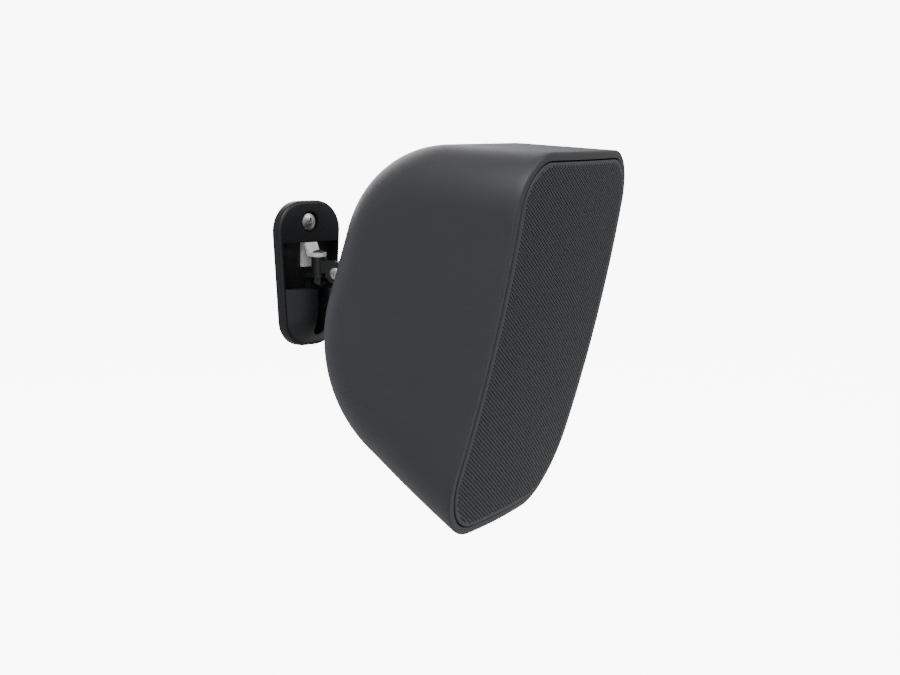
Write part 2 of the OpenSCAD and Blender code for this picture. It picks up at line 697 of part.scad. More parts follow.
module lead(points, d) {
    p = cut_corners(cut_corners(points));
    sides = 8;
    rings = [for (i = [0:len(p) - 1]) let (
        t = path_dir(p, i),
        u = cross(t, [0.3, 0.2, 0.93]) / norm(cross(t, [0.3, 0.2, 0.93])),
        v = cross(t, u))
        [for (k = [0:sides - 1]) p[i] + (u * cos(360 * k / sides) + v * sin(360 * k / sides)) * d / 2]];
    m = len(rings);
    polyhedron([for (r = rings) each r], concat(
        [[for (k = [0:sides - 1]) k]],
        [[for (k = [sides - 1:-1:0]) (m - 1) * sides + k]],
        [for (j = [0:m - 2]) for (k = [0:sides - 1]) let (l = (k + 1) % sides)
            each [[j * sides + k, (j + 1) * sides + l, j * sides + l],
                [j * sides + k, (j + 1) * sides + k, (j + 1) * sides + l]]]), convexity = 6);
}

lead_d = 3;
tail = 7;
plug_y = bay_y - plug_depth - free;
board_back = board_y + board_t + free;
board_front = board_y - free;
tag_r = mix(frame_r, frame_seat_r, 0.45);
tag_slope = atan((seat_z - 6 - frame_lip) / (frame_r - frame_seat_r));
tag_out = [-sin(tag_slope) * cos(30), cos(tag_slope), sin(tag_slope) * sin(30)];
tag = [-tag_r * cos(30), baffle_y + frame_lip + (frame_r - tag_r) * tan(tag_slope), woofer_z + tag_r * sin(30)];

module input_lead() color("#7a1f1f") in_cabinet() lead([
    [0, plug_y, bay_z + 4], [0, plug_y - 1, bay_z + 4],
    [0, board_back + 1, bay_z + 6], [0, board_back, bay_z + 6]], 2.4);

module woofer_lead() color("#8c2a26") in_cabinet() lead([
    [-16, board_front, bay_z + 17], [-16, board_front - tail, bay_z + 17], [-46, 72, -14],
    [-52, 50, -12], tag + tail * tag_out, tag + free * tag_out], lead_d);

module tweeter_lead() color("#2b4f8a") in_cabinet() lead([
    [0, board_front, bay_z + 17], [0, board_front - tail, bay_z + 17], [0, 72, 22],
    [0, 50, 44], [0, baffle_y + pot_back + tail, tweeter_z - 6], [0, baffle_y + pot_back + free, tweeter_z - 6]],
    lead_d);

// Wall base. Outline points from four rounded corners, as [x, z, nx, nz].

base_top_r = 20;
base_foot_r = 18;
foot_share = 0.78;
base_corner_steps = 7;
base_edge_r = 2.2;

function corner(v, a, b, r) = arc(arc_centre(v, a, b, r), r, a, b, base_corner_steps);
side_lean = atan((1 - foot_share) * base_w / 2 / base_h);
base_outline = concat(
    corner([base_w / 2, base_h / 2], -side_lean, 90, base_top_r),
    corner([-base_w / 2, base_h / 2], 90, 180 + side_lean, base_top_r),
    corner([-foot_share * base_w / 2, -base_h / 2], 180 + side_lean, 270, base_foot_r),
    corner([foot_share * base_w / 2, -base_h / 2], 270, 360 - side_lean, base_foot_r));

function base_ring(inset) = [for (q = base_outline) [q[0] - q[2] * inset, q[1] - q[3] * inset]];

ledge_z = -9.5;
bulge_power = 4;
bulge_middle = -12;
base_rings = 8;
function bulge(x, z) = let (u = min(max((ledge_z + 4 - z) / (base_h / 2 + ledge_z + 4), 0), 1))
    base_bulge * max(1 - pow(x / (base_w / 2), 2), 0) * (1 - pow(u, bulge_power)) * (z < ledge_z + 12 ? 1 : 0);

module base_body() {
    rim = base_ring(0);
    n = len(rim);
    edge = [for (i = [0:4]) let (a = 90 * i / 4)
        [for (q = base_ring(base_edge_r * (1 - cos(a)))) [q.x, -(base_t - base_edge_r + base_edge_r * sin(a)), q.y]]];
    inner = base_ring(base_edge_r);
    field = [for (i = [1:base_rings - 1]) let (f = 1 - i / base_rings)
        [for (q = inner) let (x = q.x * f, z = mix(bulge_middle, q.y, f)) [x, -base_t - bulge(x, z), z]]];
    loops = concat([[for (q = rim) [q.x, 0, q.y]]], edge, field);
    m = len(loops);
    faces = concat([[for (i = [0:n - 1]) i]],
        [for (j = [0:m - 2]) for (i = [0:n - 1]) let (k = (i + 1) % n)
            each [[j * n + i, (j + 1) * n + k, j * n + k], [j * n + i, (j + 1) * n + i, (j + 1) * n + k]]],
        [for (i = [0:n - 1]) [m * n, (m - 1) * n + (i + 1) % n, (m - 1) * n + i]]);
    middle = [0, -base_t - bulge(0, bulge_middle), bulge_middle];
    polyhedron(concat([for (l = loops) each l], [middle]), faces, convexity = 4);
}

pocket_top = 21;
wall_hole_z = 30;
base_wall = 2.5;
base_cavity = 4.6;
lug_r = 5;
lug_t = 2.4;
lug_top = pivot_z - 1.8;
channel_w = 9;
channel_foot = -36;
lock_z = 34;
lock_d = 5;
lock_head_d = 11.5;
counterbore_d = 14;
counterbore = 3;

module flat_outline(inset) polygon(base_ring(inset));

// Plate on the wall: y0 is its back and t its thickness
module wall_slab(inset, y0, t) translate([0, -y0, 0]) rotate([90, 0, 0]) linear_extrude(t) flat_outline(inset);

module wall_base() color("#2b2c2f") difference() {
    union() {
        difference() {
            base_body();
            translate([0, 1, 0]) wall_slab(base_wall, 0, base_cavity + 1);
            translate([-base_w, -40, ledge_z]) cube([2 * base_w, 40 - base_t, base_h]);
            translate([-base_w / 2 + base_wall, -40, ledge_z])
                cube([base_w - 2 * base_wall, 41, pocket_top - ledge_z]);
            channel();
        }
        translate([0, -plate_t - free, lock_z]) rotate([90, 0, 0])
            cylinder(d = counterbore_d + 4, h = base_t - plate_t - free);
        translate([0, -pan_d, lug_top - lug_t]) cylinder(r = lug_r, h = lug_t);
        translate([-lug_r, -pan_d, lug_top - lug_t]) cube([2 * lug_r, pan_d - base_cavity - 0.4, lug_t]);
    }
    translate([0, -base_t + counterbore, lock_z]) rotate([90, 0, 0]) cylinder(d = counterbore_d, h = 20);
    translate([0, 1, lock_z]) rotate([90, 0, 0]) cylinder(d = lock_d + 0.4, h = 20);
    translate([0, -pan_d, lug_top - lug_t - 1]) cylinder(d = pan_bolt_d + 0.2, h = lug_t + 2);
}

// Open channel down the middle of the bulge, under the pan bolt
module channel() {
    floor_y = base_t - 0.6;
    translate([-channel_w / 2, -40, channel_foot]) cube([channel_w, 40 - floor_y, ledge_z - channel_foot + 1]);
    translate([0, -floor_y, channel_foot]) rotate([90, 0, 0]) cylinder(d = channel_w, h = 40 - floor_y);
}

module wall_back_plate() color("#222325") difference() {
    wall_slab(base_wall + 0.4, 0, plate_t);
    for (s = [-1, 1]) translate([s * wall_hole_spacing / 2, 1, wall_hole_z]) rotate([90, 0, 0])
        cylinder(d = wall_hole_d, h = plate_t + 2);
    translate([0, 1, lock_z]) rotate([90, 0, 0]) cylinder(d = lock_d + 2 * fit, h = plate_t + 2);
    for (z = rivet_places) translate([0, 1, z]) rotate([90, 0, 0]) cylinder(d = rivet_d + 2 * fit, h = plate_t + 2);
}

module lock_screw() color("#c3c5c8") translate([0, -base_t + counterbore, lock_z]) rotate([90, 0, 0])
    screw(lock_d, base_t - counterbore - 0.4, lock_head_d, 3.4);

// Zinc-plated strip bracket that carries the pan bolt

strip_w = 10;
strip_t = 2.4;
strip_foot = 4.5;
strip_top = pocket_top - 0.4;
ear_z = pivot_z + 9.8;
rivet_d = 4;
rivet_places = [7.6, 13.6];

module steel_bracket() color("#b9bcbf") difference() {
    intersection() {
        translate([strip_w / 2, 0, 0]) rotate([90, 0, -90]) linear_extrude(strip_w)
            polygon([[plate_t, strip_foot], [plate_t, strip_top], [plate_t + 5.6, strip_top],
                [plate_t + 8.4, ear_z + strip_t], [pan_d + 10, ear_z + strip_t], [pan_d + 10, ear_z],
                [plate_t + 7.2, ear_z], [plate_t + 4.8, strip_top - strip_t],
                [plate_t + strip_t, strip_top - strip_t], [plate_t + strip_t, strip_foot]]);
        union() {
            translate([-strip_w / 2, -pan_d, 0]) cube([strip_w, pan_d, base_h / 2]);
            translate([0, -pan_d, 0]) cylinder(d = strip_w, h = base_h / 2);
        }
    }
    translate([0, -pan_d, ear_z - 1]) cylinder(d = pan_bolt_d + 0.2, h = strip_t + 2);
    for (z = rivet_places) translate([0, -plate_t + 1, z]) rotate([90, 0, 0])
        cylinder(d = rivet_d + 2 * fit, h = strip_t + 2);
}

module bracket_rivets() color("#a9acb0") for (z = rivet_places) translate([0, -0.3, z]) rotate([90, 0, 0])
    cylinder(d = rivet_d, h = plate_t + strip_t - 0.4);

// Pan joint

barrel_d = 10;
barrel_top = 9.2;
barrel_foot = -1.5;

module pan_bolt() color("#bfc2c5") translate([0, -pan_d, ear_z + strip_t + fit / 2])
    screw(pan_bolt_d, ear_z + strip_t - lug_top + lug_t + 4.5, 8.4, 1.8);

module pan_washers() color("#d8d8d4") {
    gap = ear_z - pivot_z - barrel_top;
    translate([0, -pan_d, ear_z - gap + fit]) ring(pan_bolt_d / 2 + fit, 4.6, 0, gap - 2 * fit);
}

module pan_nut() color("#1f2022") translate([0, -pan_d, lug_top - lug_t - fit / 2]) mirror([0, 0, 1]) difference() {
    union() {
        cylinder(d = 8.6, h = 3.4, $fn = 6);
        translate([0, 0, 3]) intersection() {
            cylinder(d = 7.6, h = 4);
            translate([0, 0, -1]) sphere(r = 4.4);
        }
    }
    translate([0, 0, -1]) cylinder(d = pan_bolt_d + 2 * fit, h = 6);
}

// Knuckle: upright barrel on the pan bolt and a level barrel on the tilt bolt

tilt_barrel_d = 13.4;
tilt_barrel_w = 13;
cheek_gap = 0.5;
cheek_t = 4;
cheek_d = 14.5;

module knuckle() color("#2d2e31") at_pan() difference() {
    union() {
        translate([0, 0, barrel_foot]) cylinder(d = barrel_d, h = barrel_top - barrel_foot);
        translate([-tilt_barrel_w / 2, -link, 0]) rotate([0, 90, 0]) cylinder(d = tilt_barrel_d, h = tilt_barrel_w);
        translate([-3.5, -link, barrel_foot + 0.5]) cube([7, link, 8]);
    }
    translate([0, 0, barrel_foot - 1]) cylinder(d = pan_bolt_d + 2 * running, h = barrel_top - barrel_foot + 2);
    translate([-tilt_barrel_w, -link, 0]) rotate([0, 90, 0]) cylinder(d = tilt_bolt_d + 2 * running, h = 3 * tilt_barrel_w);
}

// Yoke on the back of the cabinet: a pad and two cheeks round the tilt barrel

pad_w = 46;
pad_h = 46;
pad_t = 4.5;
pad_r = 6;
cheek_x = tilt_barrel_w / 2 + cheek_gap;

module cabinet_yoke() color("#232427") difference() {
    union() {
        in_cabinet() on_back(yoke_z) translate([0, fit, 0]) rotate([-90, 0, 0]) linear_extrude(pad_t) union() {
            square([pad_w - 2 * pad_r, pad_h], center = true);
            square([pad_w, pad_h - 2 * pad_r], center = true);
            for (sx = [-1, 1]) for (sz = [-1, 1])
                translate([sx * (pad_w / 2 - pad_r), sz * (pad_h / 2 - pad_r)]) circle(r = pad_r);
        }
        for (s = [-1, 1]) at_tilt() translate([s * (cheek_x + cheek_t / 2) - cheek_t / 2, 0, 0]) rotate([90, 0, 90])
            linear_extrude(cheek_t) union() {
                circle(d = cheek_d);
                polygon([[0, cheek_d / 2], [-tilt_back + pad_t - 2, cheek_d / 2 + 5],
                    [-tilt_back + pad_t - 2, -cheek_d / 2 - 3], [0, -cheek_d / 2]]);
            }
    }
    at_tilt() translate([-30, 0, 0]) rotate([0, 90, 0]) cylinder(d = tilt_bolt_d + 2 * running, h = 60);
    in_cabinet() yoke_bolts() rotate([-90, 0, 0]) translate([0, 0, -1]) cylinder(d = yoke_screw_d + 0.5, h = pad_t + 3);
}

module yoke_screws() color("#2a2b2e") in_cabinet() yoke_bolts() rotate([-90, 0, 0])
    translate([0, 0, pad_t + fit]) screw(yoke_screw_d, pad_t + wall + 6.5, 8.6, 2.8);

module brass_inserts() color("#b8923f") in_cabinet() yoke_bolts() rotate([90, 0, 0])
    ring(yoke_screw_d / 2 + fit, insert_d / 2, wall + fit, wall + insert_l);

module tilt_bolt() color("#c3c5c8") at_tilt() translate([-cheek_x - cheek_t - fit / 2, 0, 0]) rotate([0, -90, 0])
    screw(tilt_bolt_d, 2 * (cheek_x + cheek_t) + 4.6, 7.4, 2.4);

module tilt_nut() color("#8f9296") at_tilt() translate([cheek_x + cheek_t + fit / 2, 0, 0]) rotate([0, 90, 0]) difference() {
    cylinder(d = 9.2, h = 4, $fn = 6);
    translate([0, 0, -1]) cylinder(d = tilt_bolt_d + 2 * fit, h = 6);
}

module tilt_washers() color("#d8d8d4") at_tilt() for (s = [-1, 1])
    translate([s * (tilt_barrel_w / 2 + cheek_gap / 2), 0, 0]) rotate([0, 90, 0])
        ring(tilt_bolt_d / 2 + fit, 6, -cheek_gap / 2 + fit, cheek_gap / 2 - fit);

wall_back_plate();
wall_base();
lock_screw();
steel_bracket();
bracket_rivets();
pan_bolt();
pan_washers();
pan_nut();
knuckle();
tilt_bolt();
tilt_nut();
tilt_washers();
cabinet_yoke();
yoke_screws();
brass_inserts();
housing();
front_baffle();
baffle_screws();
grille();
grille_cloth();
woofer_frame();
woofer_gasket();
woofer_screws();
woofer_top_plate();
woofer_magnet();
woofer_yoke();
woofer_cone();
woofer_dust_cap();
voice_coil();
woofer_surround();
woofer_spider();
tweeter_faceplate();
tweeter_dome();
tweeter_magnet();
tweeter_pot();
tweeter_screws();
port_tube_left();
port_tube_right();
crossover_board();
board_screws();
woofer_inductor();
tweeter_inductor();
capacitors();
resistor();
terminal_plate();
terminal_screws();
lever_red();
lever_black();
terminal_contacts();
wadding();
input_lead();
woofer_lead();
tweeter_lead();
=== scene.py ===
"""Looks of the wall loudspeaker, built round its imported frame.

The cabinet's fine skin, the perforated grille, the wall bracket's cover and every finish are
made here. Until a mesh is placed its lengths are in millimetres. The skin and the grille are
drawn in the cabinet's own frame (x across, y backwards, z up, front corners at y = 0), and the
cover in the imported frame.
"""

from __future__ import annotations

import json
import logging
import math
from dataclasses import dataclass
from enum import Enum
from typing import Callable, Iterable, Sequence

import bmesh
import bpy
import numpy as np
from mathutils import Matrix, Vector
from mathutils.geometry import delaunay_2d_cdt

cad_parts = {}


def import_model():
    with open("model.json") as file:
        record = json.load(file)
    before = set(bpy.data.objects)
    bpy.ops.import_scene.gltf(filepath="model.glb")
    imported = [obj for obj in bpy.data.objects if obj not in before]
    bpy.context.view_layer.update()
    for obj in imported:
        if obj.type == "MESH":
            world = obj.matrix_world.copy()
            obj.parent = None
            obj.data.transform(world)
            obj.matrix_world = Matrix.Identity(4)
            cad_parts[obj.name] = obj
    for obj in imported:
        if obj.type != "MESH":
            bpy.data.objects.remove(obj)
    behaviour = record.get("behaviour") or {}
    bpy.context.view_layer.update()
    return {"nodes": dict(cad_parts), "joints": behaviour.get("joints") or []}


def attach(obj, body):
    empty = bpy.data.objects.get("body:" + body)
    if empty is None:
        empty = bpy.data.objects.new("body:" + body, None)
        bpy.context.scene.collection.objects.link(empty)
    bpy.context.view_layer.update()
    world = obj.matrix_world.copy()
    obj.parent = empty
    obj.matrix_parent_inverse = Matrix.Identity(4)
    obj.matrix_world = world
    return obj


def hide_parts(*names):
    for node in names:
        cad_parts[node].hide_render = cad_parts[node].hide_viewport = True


log = logging.getLogger("loudspeaker")

MM = 0.001
WELD = 2e-6
SHARP_DEG = 32.0
CIRCLE_STEPS = 48
HALF_CIRCLE_STEPS = 24
CORNER_STEPS = 6
SETTLE_STEPS = 8
FLAT_WELD = 1e-6
TINY = 1e-12

Colour = tuple[float, float, float]
Front = Callable[[float, float], float]
Point = tuple[float, float, float]
ProfilePoint = tuple[float, float, float, float]
Spot = tuple[float, float]
Outline = list[Spot]


# Outlines


def mix(a: float, b: float, t: float) -> float:
    """Value a share t of the way from a to b."""
    return a + (b - a) * t


def between(p: Sequence[float], q: Sequence[float], t: float) -> tuple[float, ...]:
    """Values a share t of the way from those of p to those of q."""
    return tuple(mix(a, b, t) for a, b in zip(p, q))


def heading(degrees: float) -> Vector:
    """Unit vector at an angle in its plane."""
    turn = math.radians(degrees)
    return Vector((math.cos(turn), math.sin(turn)))


def corner_centre(tip: Spot, a: float, b: float, r: float) -> Vector:
    """Centre of the arc that rounds a corner.

    Args:
        tip: the sharp corner.
        a: direction of the first face's normal, degrees.
        b: direction of the second face's normal, degrees.
        r: the arc's radius.

    Returns:
        The centre.
    """
    na = heading(a)
    nb = heading(b)
    return Vector(tip) - (na + nb) * r / (1 + na.dot(nb))


def quarter_turn(steps: int) -> list[Spot]:
    """Shares of its radius that a rounded edge has come across and has still to go.

    Args:
        steps: steps in the quarter turn.

    Returns:
        Both shares at each step, from (0, 1) to (1, 0).
    """
    turns = [math.pi / 2 * i / steps for i in range(steps + 1)]
    return [(1 - math.cos(t), 1 - math.sin(t)) for t in turns]


def whole_ring(half: Sequence[Point]) -> list[Point]:
    """A closed ring from its right half."""
    return list(half) + [(-x, y, z) for x, y, z in reversed(half[1:-1])]


def flat(y: float) -> Front:
    """A front that is flat at depth y."""
    return lambda x, z: y


def circle(x: float, z: float, r: float) -> Outline:
    """Points round a circle."""
    turns = [math.tau * i / CIRCLE_STEPS for i in range(CIRCLE_STEPS)]
    return [(x + r * math.cos(t), z + r * math.sin(t)) for t in turns]


def half_circle(z: float, r: float, first: float) -> Outline:
    """Points along a half circle about x = 0, from a first angle in radians."""
    turns = [first + math.pi * i / HALF_CIRCLE_STEPS for i in range(HALF_CIRCLE_STEPS + 1)]
    return [(r * math.cos(t), z + r * math.sin(t)) for t in turns]


def rectangle(x0: float, z0: float, x1: float, z1: float) -> Outline:
    """The four corners of a rectangle."""
    return [(x0, z0), (x1, z0), (x1, z1), (x0, z1)]


def rounded_rectangle(half_w: float, half_h: float, z: float, r: float) -> Outline:
    """Points round a rectangle with rounded corners.

    Args:
        half_w: half its width.
        half_h: half its height.
        z: height of its middle.
        r: the corners' radius.

    Returns:
        The points.
    """
    points = []
    for corner, (sx, sz) in enumerate(((1, 1), (-1, 1), (-1, -1), (1, -1))):
        for i in range(CORNER_STEPS + 1):
            turn = math.radians(90 * (corner + i / CORNER_STEPS))
            x = sx * (half_w - r) + r * math.cos(turn)
            points.append((x, z + sz * (half_h - r) + r * math.sin(turn)))
    return points


# Meshes


class MeshDraft:
    """Points and faces in millimetres, gathered before they become one object."""

    def __init__(self) -> None:
        """Start with nothing drawn."""
        self.points: list[Point] = []
        self.faces: list[tuple[int, ...]] = []

    def add(self, pts: Iterable[Point]) -> list[int]:
        """Add points.

        Args:
            pts: the new points.

        Returns:
            Their indices.
        """
        start = len(self.points)
        self.points.extend(pts)
        return list(range(start, len(self.points)))

    def strip(self, a: Sequence[Point], b: Sequence[Point], closed: bool = False) -> None:
        """Join two rows of as many points with quads.

        Args:
            a: the first row.
            b: the second row.
            closed: whether the rows are rings.
        """
        low = self.add(a)
        high = self.add(b)
        for i in range(len(low) if closed else len(low) - 1):
            k = (i + 1) % len(low)
            self.faces.append((low[i], low[k], high[k], high[i]))

    def fan(self, row: Sequence[Point], tip: Point) -> None:
        """Join a row to one point with triangles.

        Args:
            row: the row of points.
            tip: the point that they meet at.
        """
        low = self.add(row)
        top = self.add([tip])[0]
        for i in range(len(low) - 1):
            self.faces.append((low[i], low[i + 1], top))

    def mirror(self) -> None:
        """Add the same surface again on the other side of x = 0."""
        count = len(self.points)
        self.points += [(-x, y, z) for x, y, z in self.points]
        self.faces += [tuple(count + i for i in reversed(f)) for f in self.faces]

    def object(self, name: str, place: Matrix) -> bpy.types.Object:
        """Weld the draft and make an object of it, in metres.

        Args:
            name: the object's name.
            place: the matrix from the draft's frame in millimetres to the row frame.

        Returns:
            The new object, linked to the scene.
        """
        mesh = bpy.data.meshes.new(name)
        mesh.from_pydata([tuple(place @ Vector(p)) for p in self.points], [], self.faces)
        bm = bmesh.new()
        bm.from_mesh(mesh)
        bmesh.ops.remove_doubles(bm, verts=bm.verts, dist=WELD)
        bmesh.ops.recalc_face_normals(bm, faces=bm.faces)
        bm.to_mesh(mesh)
        bm.free()
        obj = bpy.data.objects.new(name, mesh)
        bpy.context.scene.collection.objects.link(obj)
        return obj


def shade_by_angle(obj: bpy.types.Object, limit_deg: float = SHARP_DEG) -> None:
    """Shade an object smooth, apart from edges sharper than a limit.

    Args:
        obj: the mesh object.
        limit_deg: the angle between two faces above which their edge stays sharp.
    """
    mesh = obj.data
    if "custom_normal" in mesh.attributes:
        mesh.attributes.remove(mesh.attributes["custom_normal"])
    bm = bmesh.new()
    bm.from_mesh(mesh)
    limit = math.radians(limit_deg)
    sharp = [e.is_manifold and e.calc_face_angle(0.0) < limit for e in bm.edges]
    bm.free()
    mesh.edges.foreach_set("use_edge_sharp", [not s for s in sharp])
    mesh.polygons.foreach_set("use_smooth", [True] * len(mesh.polygons))
    mesh.update()


class Cut(Enum):
    """What one Boolean does with its tool."""

    JOIN = "UNION"
    REMOVE = "DIFFERENCE"
    OVERLAP = "INTERSECT"


def cut(obj: bpy.types.Object, tool: bpy.types.Object, kind: Cut) -> None:
    """Apply one Boolean to an object and delete the tool.

    Args:
        obj: the object that is changed.
        tool: the object that is joined or taken away.
        kind: what is done with the tool.
    """
    modifier = obj.modifiers.new("cut", "BOOLEAN")
    modifier.operation = kind.value
    modifier.object = tool
    modifier.solver = "EXACT"
    graph = bpy.context.evaluated_depsgraph_get()
    mesh = bpy.data.meshes.new_from_object(obj.evaluated_get(graph))
    obj.modifiers.clear()
    old = obj.data
    obj.data = mesh
    bpy.data.meshes.remove(old)
    bpy.data.meshes.remove(tool.data)


def prism(name: str, outline: Outline, y0: float, y1: float, place: Matrix) -> bpy.types.Object:
    """Closed block with an outline in x and z, from y0 to y1.

    Args:
        name: its name.
        outline: the points round it.
        y0: depth of one end.
        y1: depth of the other end.
        place: the matrix from millimetres to the row frame.

    Returns:
        The block.
    """
    draft = MeshDraft()
    near = [(x, y0, z) for x, z in outline]
    far = [(x, y1, z) for x, z in outline]
    draft.strip(near, far, closed=True)
    draft.faces.append(tuple(draft.add(near)))
    draft.faces.append(tuple(draft.add(far)))
    return draft.object(name, place)


# Shader node groups


class Groups(Enum):
    """Surface effects that more than one finish uses."""

    GRAIN = "moulded_grain"
    BRUSHED = "brushed_metal"
    WEAVE = "woven_threads"


class Step(Enum):
    """Sums that the groups do."""

    ADD = "ADD"
    SUBTRACT = "SUBTRACT"
    MULTIPLY = "MULTIPLY"


class GroupShop:
    """Builds each node group once and hands it to the finishes."""

    PATTERN_INPUTS = {
        "Colour": "NodeSocketColor", "Shade": "NodeSocketColor", "Scale": "NodeSocketFloat",
    }
    GLOSS_INPUTS = {"Roughness": "NodeSocketFloat", "Spread": "NodeSocketFloat"}
    PATTERN_OUTPUTS = {"Colour": "NodeSocketColor", "Height": "NodeSocketFloat"}
    GLOSS_OUTPUTS = {"Roughness": "NodeSocketFloat"}
    SLOW_SCALE = 0.012
    SLOW_SHARE = 0.6
    SCRATCH_SCALE = 6.0
    SCRATCH_BEND = 3.0
    MIDDLE = 0.5

    def __init__(self) -> None:
        """Build every group."""
        self.groups = {
            Groups.GRAIN: self._grain(),
            Groups.BRUSHED: self._brushed(),
            Groups.WEAVE: self._weave(),
        }

    def _new(self, kind: Groups, glossy: bool) -> bpy.types.NodeTree:
        """Make an empty group.

        Args:
            kind: which group it is.
            glossy: whether it changes the roughness too.

        Returns:
            The group with its input and output nodes.
        """
        inputs = self.PATTERN_INPUTS | (self.GLOSS_INPUTS if glossy else {})
        outputs = self.PATTERN_OUTPUTS | (self.GLOSS_OUTPUTS if glossy else {})
        tree = bpy.data.node_groups.new(kind.value, "ShaderNodeTree")
        for name, sort in inputs.items():
            tree.interface.new_socket(name, in_out="INPUT", socket_type=sort)
        for name, sort in outputs.items():
            tree.interface.new_socket(name, in_out="OUTPUT", socket_type=sort)
        tree.nodes.new("NodeGroupInput").name = "in"
        tree.nodes.new("NodeGroupOutput").name = "out"
        return tree

    @staticmethod
    def _noise(tree: bpy.types.NodeTree, scale: bpy.types.NodeSocket, detail: float) -> bpy.types.Node:
        """Add a noise texture on object coordinates.

        Args:
            tree: the group.
            scale: the socket that gives its scale.
            detail: the noise's detail.

        Returns:
            The noise node.
        """
        coord = tree.nodes.get("coord") or tree.nodes.new("ShaderNodeTexCoord")
        coord.name = "coord"
        noise = tree.nodes.new("ShaderNodeTexNoise")
        noise.inputs["Detail"].default_value = detail
        tree.links.new(coord.outputs["Object"], noise.inputs["Vector"])
        tree.links.new(scale, noise.inputs["Scale"])
        return noise

    @staticmethod
    def _math(tree: bpy.types.NodeTree, step: Step, a: object, b: object) -> bpy.types.NodeSocket:
        """Add a math node.

        Args:
            tree: the group.
            step: the sum that it does.
            a: a socket or a number.
            b: a socket or a number.

        Returns:
            The result's socket.
        """
        node = tree.nodes.new("ShaderNodeMath")
        node.operation = step.value
        for slot, value in zip(node.inputs, (a, b)):
            if isinstance(value, (int, float)):
                slot.default_value = value
            else:
                tree.links.new(value, slot)
        return node.outputs[0]

    @staticmethod
    def _tint(tree: bpy.types.NodeTree, pattern: bpy.types.NodeSocket) -> None:
        """Put out the two tones mixed by a pattern.

        Args:
            tree: the group.
            pattern: the share of the lighter tone.
        """
        source = tree.nodes["in"].outputs
        node = tree.nodes.new("ShaderNodeMix")
        node.data_type = "RGBA"
        tree.links.new(pattern, node.inputs["Factor"])
        tree.links.new(source["Shade"], node.inputs["A"])
        tree.links.new(source["Colour"], node.inputs["B"])
        tree.links.new(node.outputs["Result"], tree.nodes["out"].inputs["Colour"])

    def _gloss(self, tree: bpy.types.NodeTree, pattern: bpy.types.NodeSocket) -> None:
        """Put out the roughness, swung about its mean by a pattern.

        Args:
            tree: the group.
            pattern: values from 0 to 1.
        """
        source = tree.nodes["in"].outputs
        swing = self._math(tree, Step.SUBTRACT, pattern, self.MIDDLE)
        change = self._math(tree, Step.MULTIPLY, swing, source["Spread"])
        total = self._math(tree, Step.ADD, source["Roughness"], change)
        tree.links.new(total, tree.nodes["out"].inputs["Roughness"])

    def _grain(self) -> bpy.types.NodeTree:
        """Fine spark texture of a mould, with slow changes of tone and gloss.

        Returns:
            The group.
        """
        tree = self._new(Groups.GRAIN, glossy=True)
        scale = tree.nodes["in"].outputs["Scale"]
        fine = self._noise(tree, scale, detail=2.0).outputs["Fac"]
        coarse = self._math(tree, Step.MULTIPLY, scale, self.SLOW_SCALE)
        slow = self._noise(tree, coarse, detail=3.0)
        slow_part = self._math(tree, Step.MULTIPLY, slow.outputs["Fac"], self.SLOW_SHARE)
        fine_part = self._math(tree, Step.MULTIPLY, fine, 1 - self.SLOW_SHARE)
        tone = self._math(tree, Step.ADD, slow_part, fine_part)
        self._tint(tree, tone)
        self._gloss(tree, tone)
        tree.links.new(fine, tree.nodes["out"].inputs["Height"])
        return tree

    def _brushed(self) -> bpy.types.NodeTree:
        """Cloudy plating with short fine scratches.

        Returns:
            The group.
        """
        tree = self._new(Groups.BRUSHED, glossy=True)
        scale = tree.nodes["in"].outputs["Scale"]
        cloud = self._noise(tree, scale, detail=4.0)
        tight = self._math(tree, Step.MULTIPLY, scale, self.SCRATCH_SCALE)
        scratch = self._noise(tree, tight, detail=1.0)
        scratch.inputs["Distortion"].default_value = self.SCRATCH_BEND
        self._tint(tree, cloud.outputs["Fac"])
        self._gloss(tree, scratch.outputs["Fac"])
        tree.links.new(scratch.outputs["Fac"], tree.nodes["out"].inputs["Height"])
        return tree

    def _weave(self) -> bpy.types.NodeTree:
        """Plain weave of two thread directions.

        Returns:
            The group.
        """
        tree = self._new(Groups.WEAVE, glossy=False)
        coord = tree.nodes.new("ShaderNodeTexCoord")
        waves = []
        for direction in ("X", "Z"):
            wave = tree.nodes.new("ShaderNodeTexWave")
            wave.wave_type = "BANDS"
            wave.bands_direction = direction
            tree.links.new(coord.outputs["Object"], wave.inputs["Vector"])
            tree.links.new(tree.nodes["in"].outputs["Scale"], wave.inputs["Scale"])
            waves.append(wave.outputs["Fac"])
        cross = self._math(tree, Step.MULTIPLY, waves[0], waves[1])
        self._tint(tree, cross)
        tree.links.new(cross, tree.nodes["out"].inputs["Height"])
        return tree


# Finishes


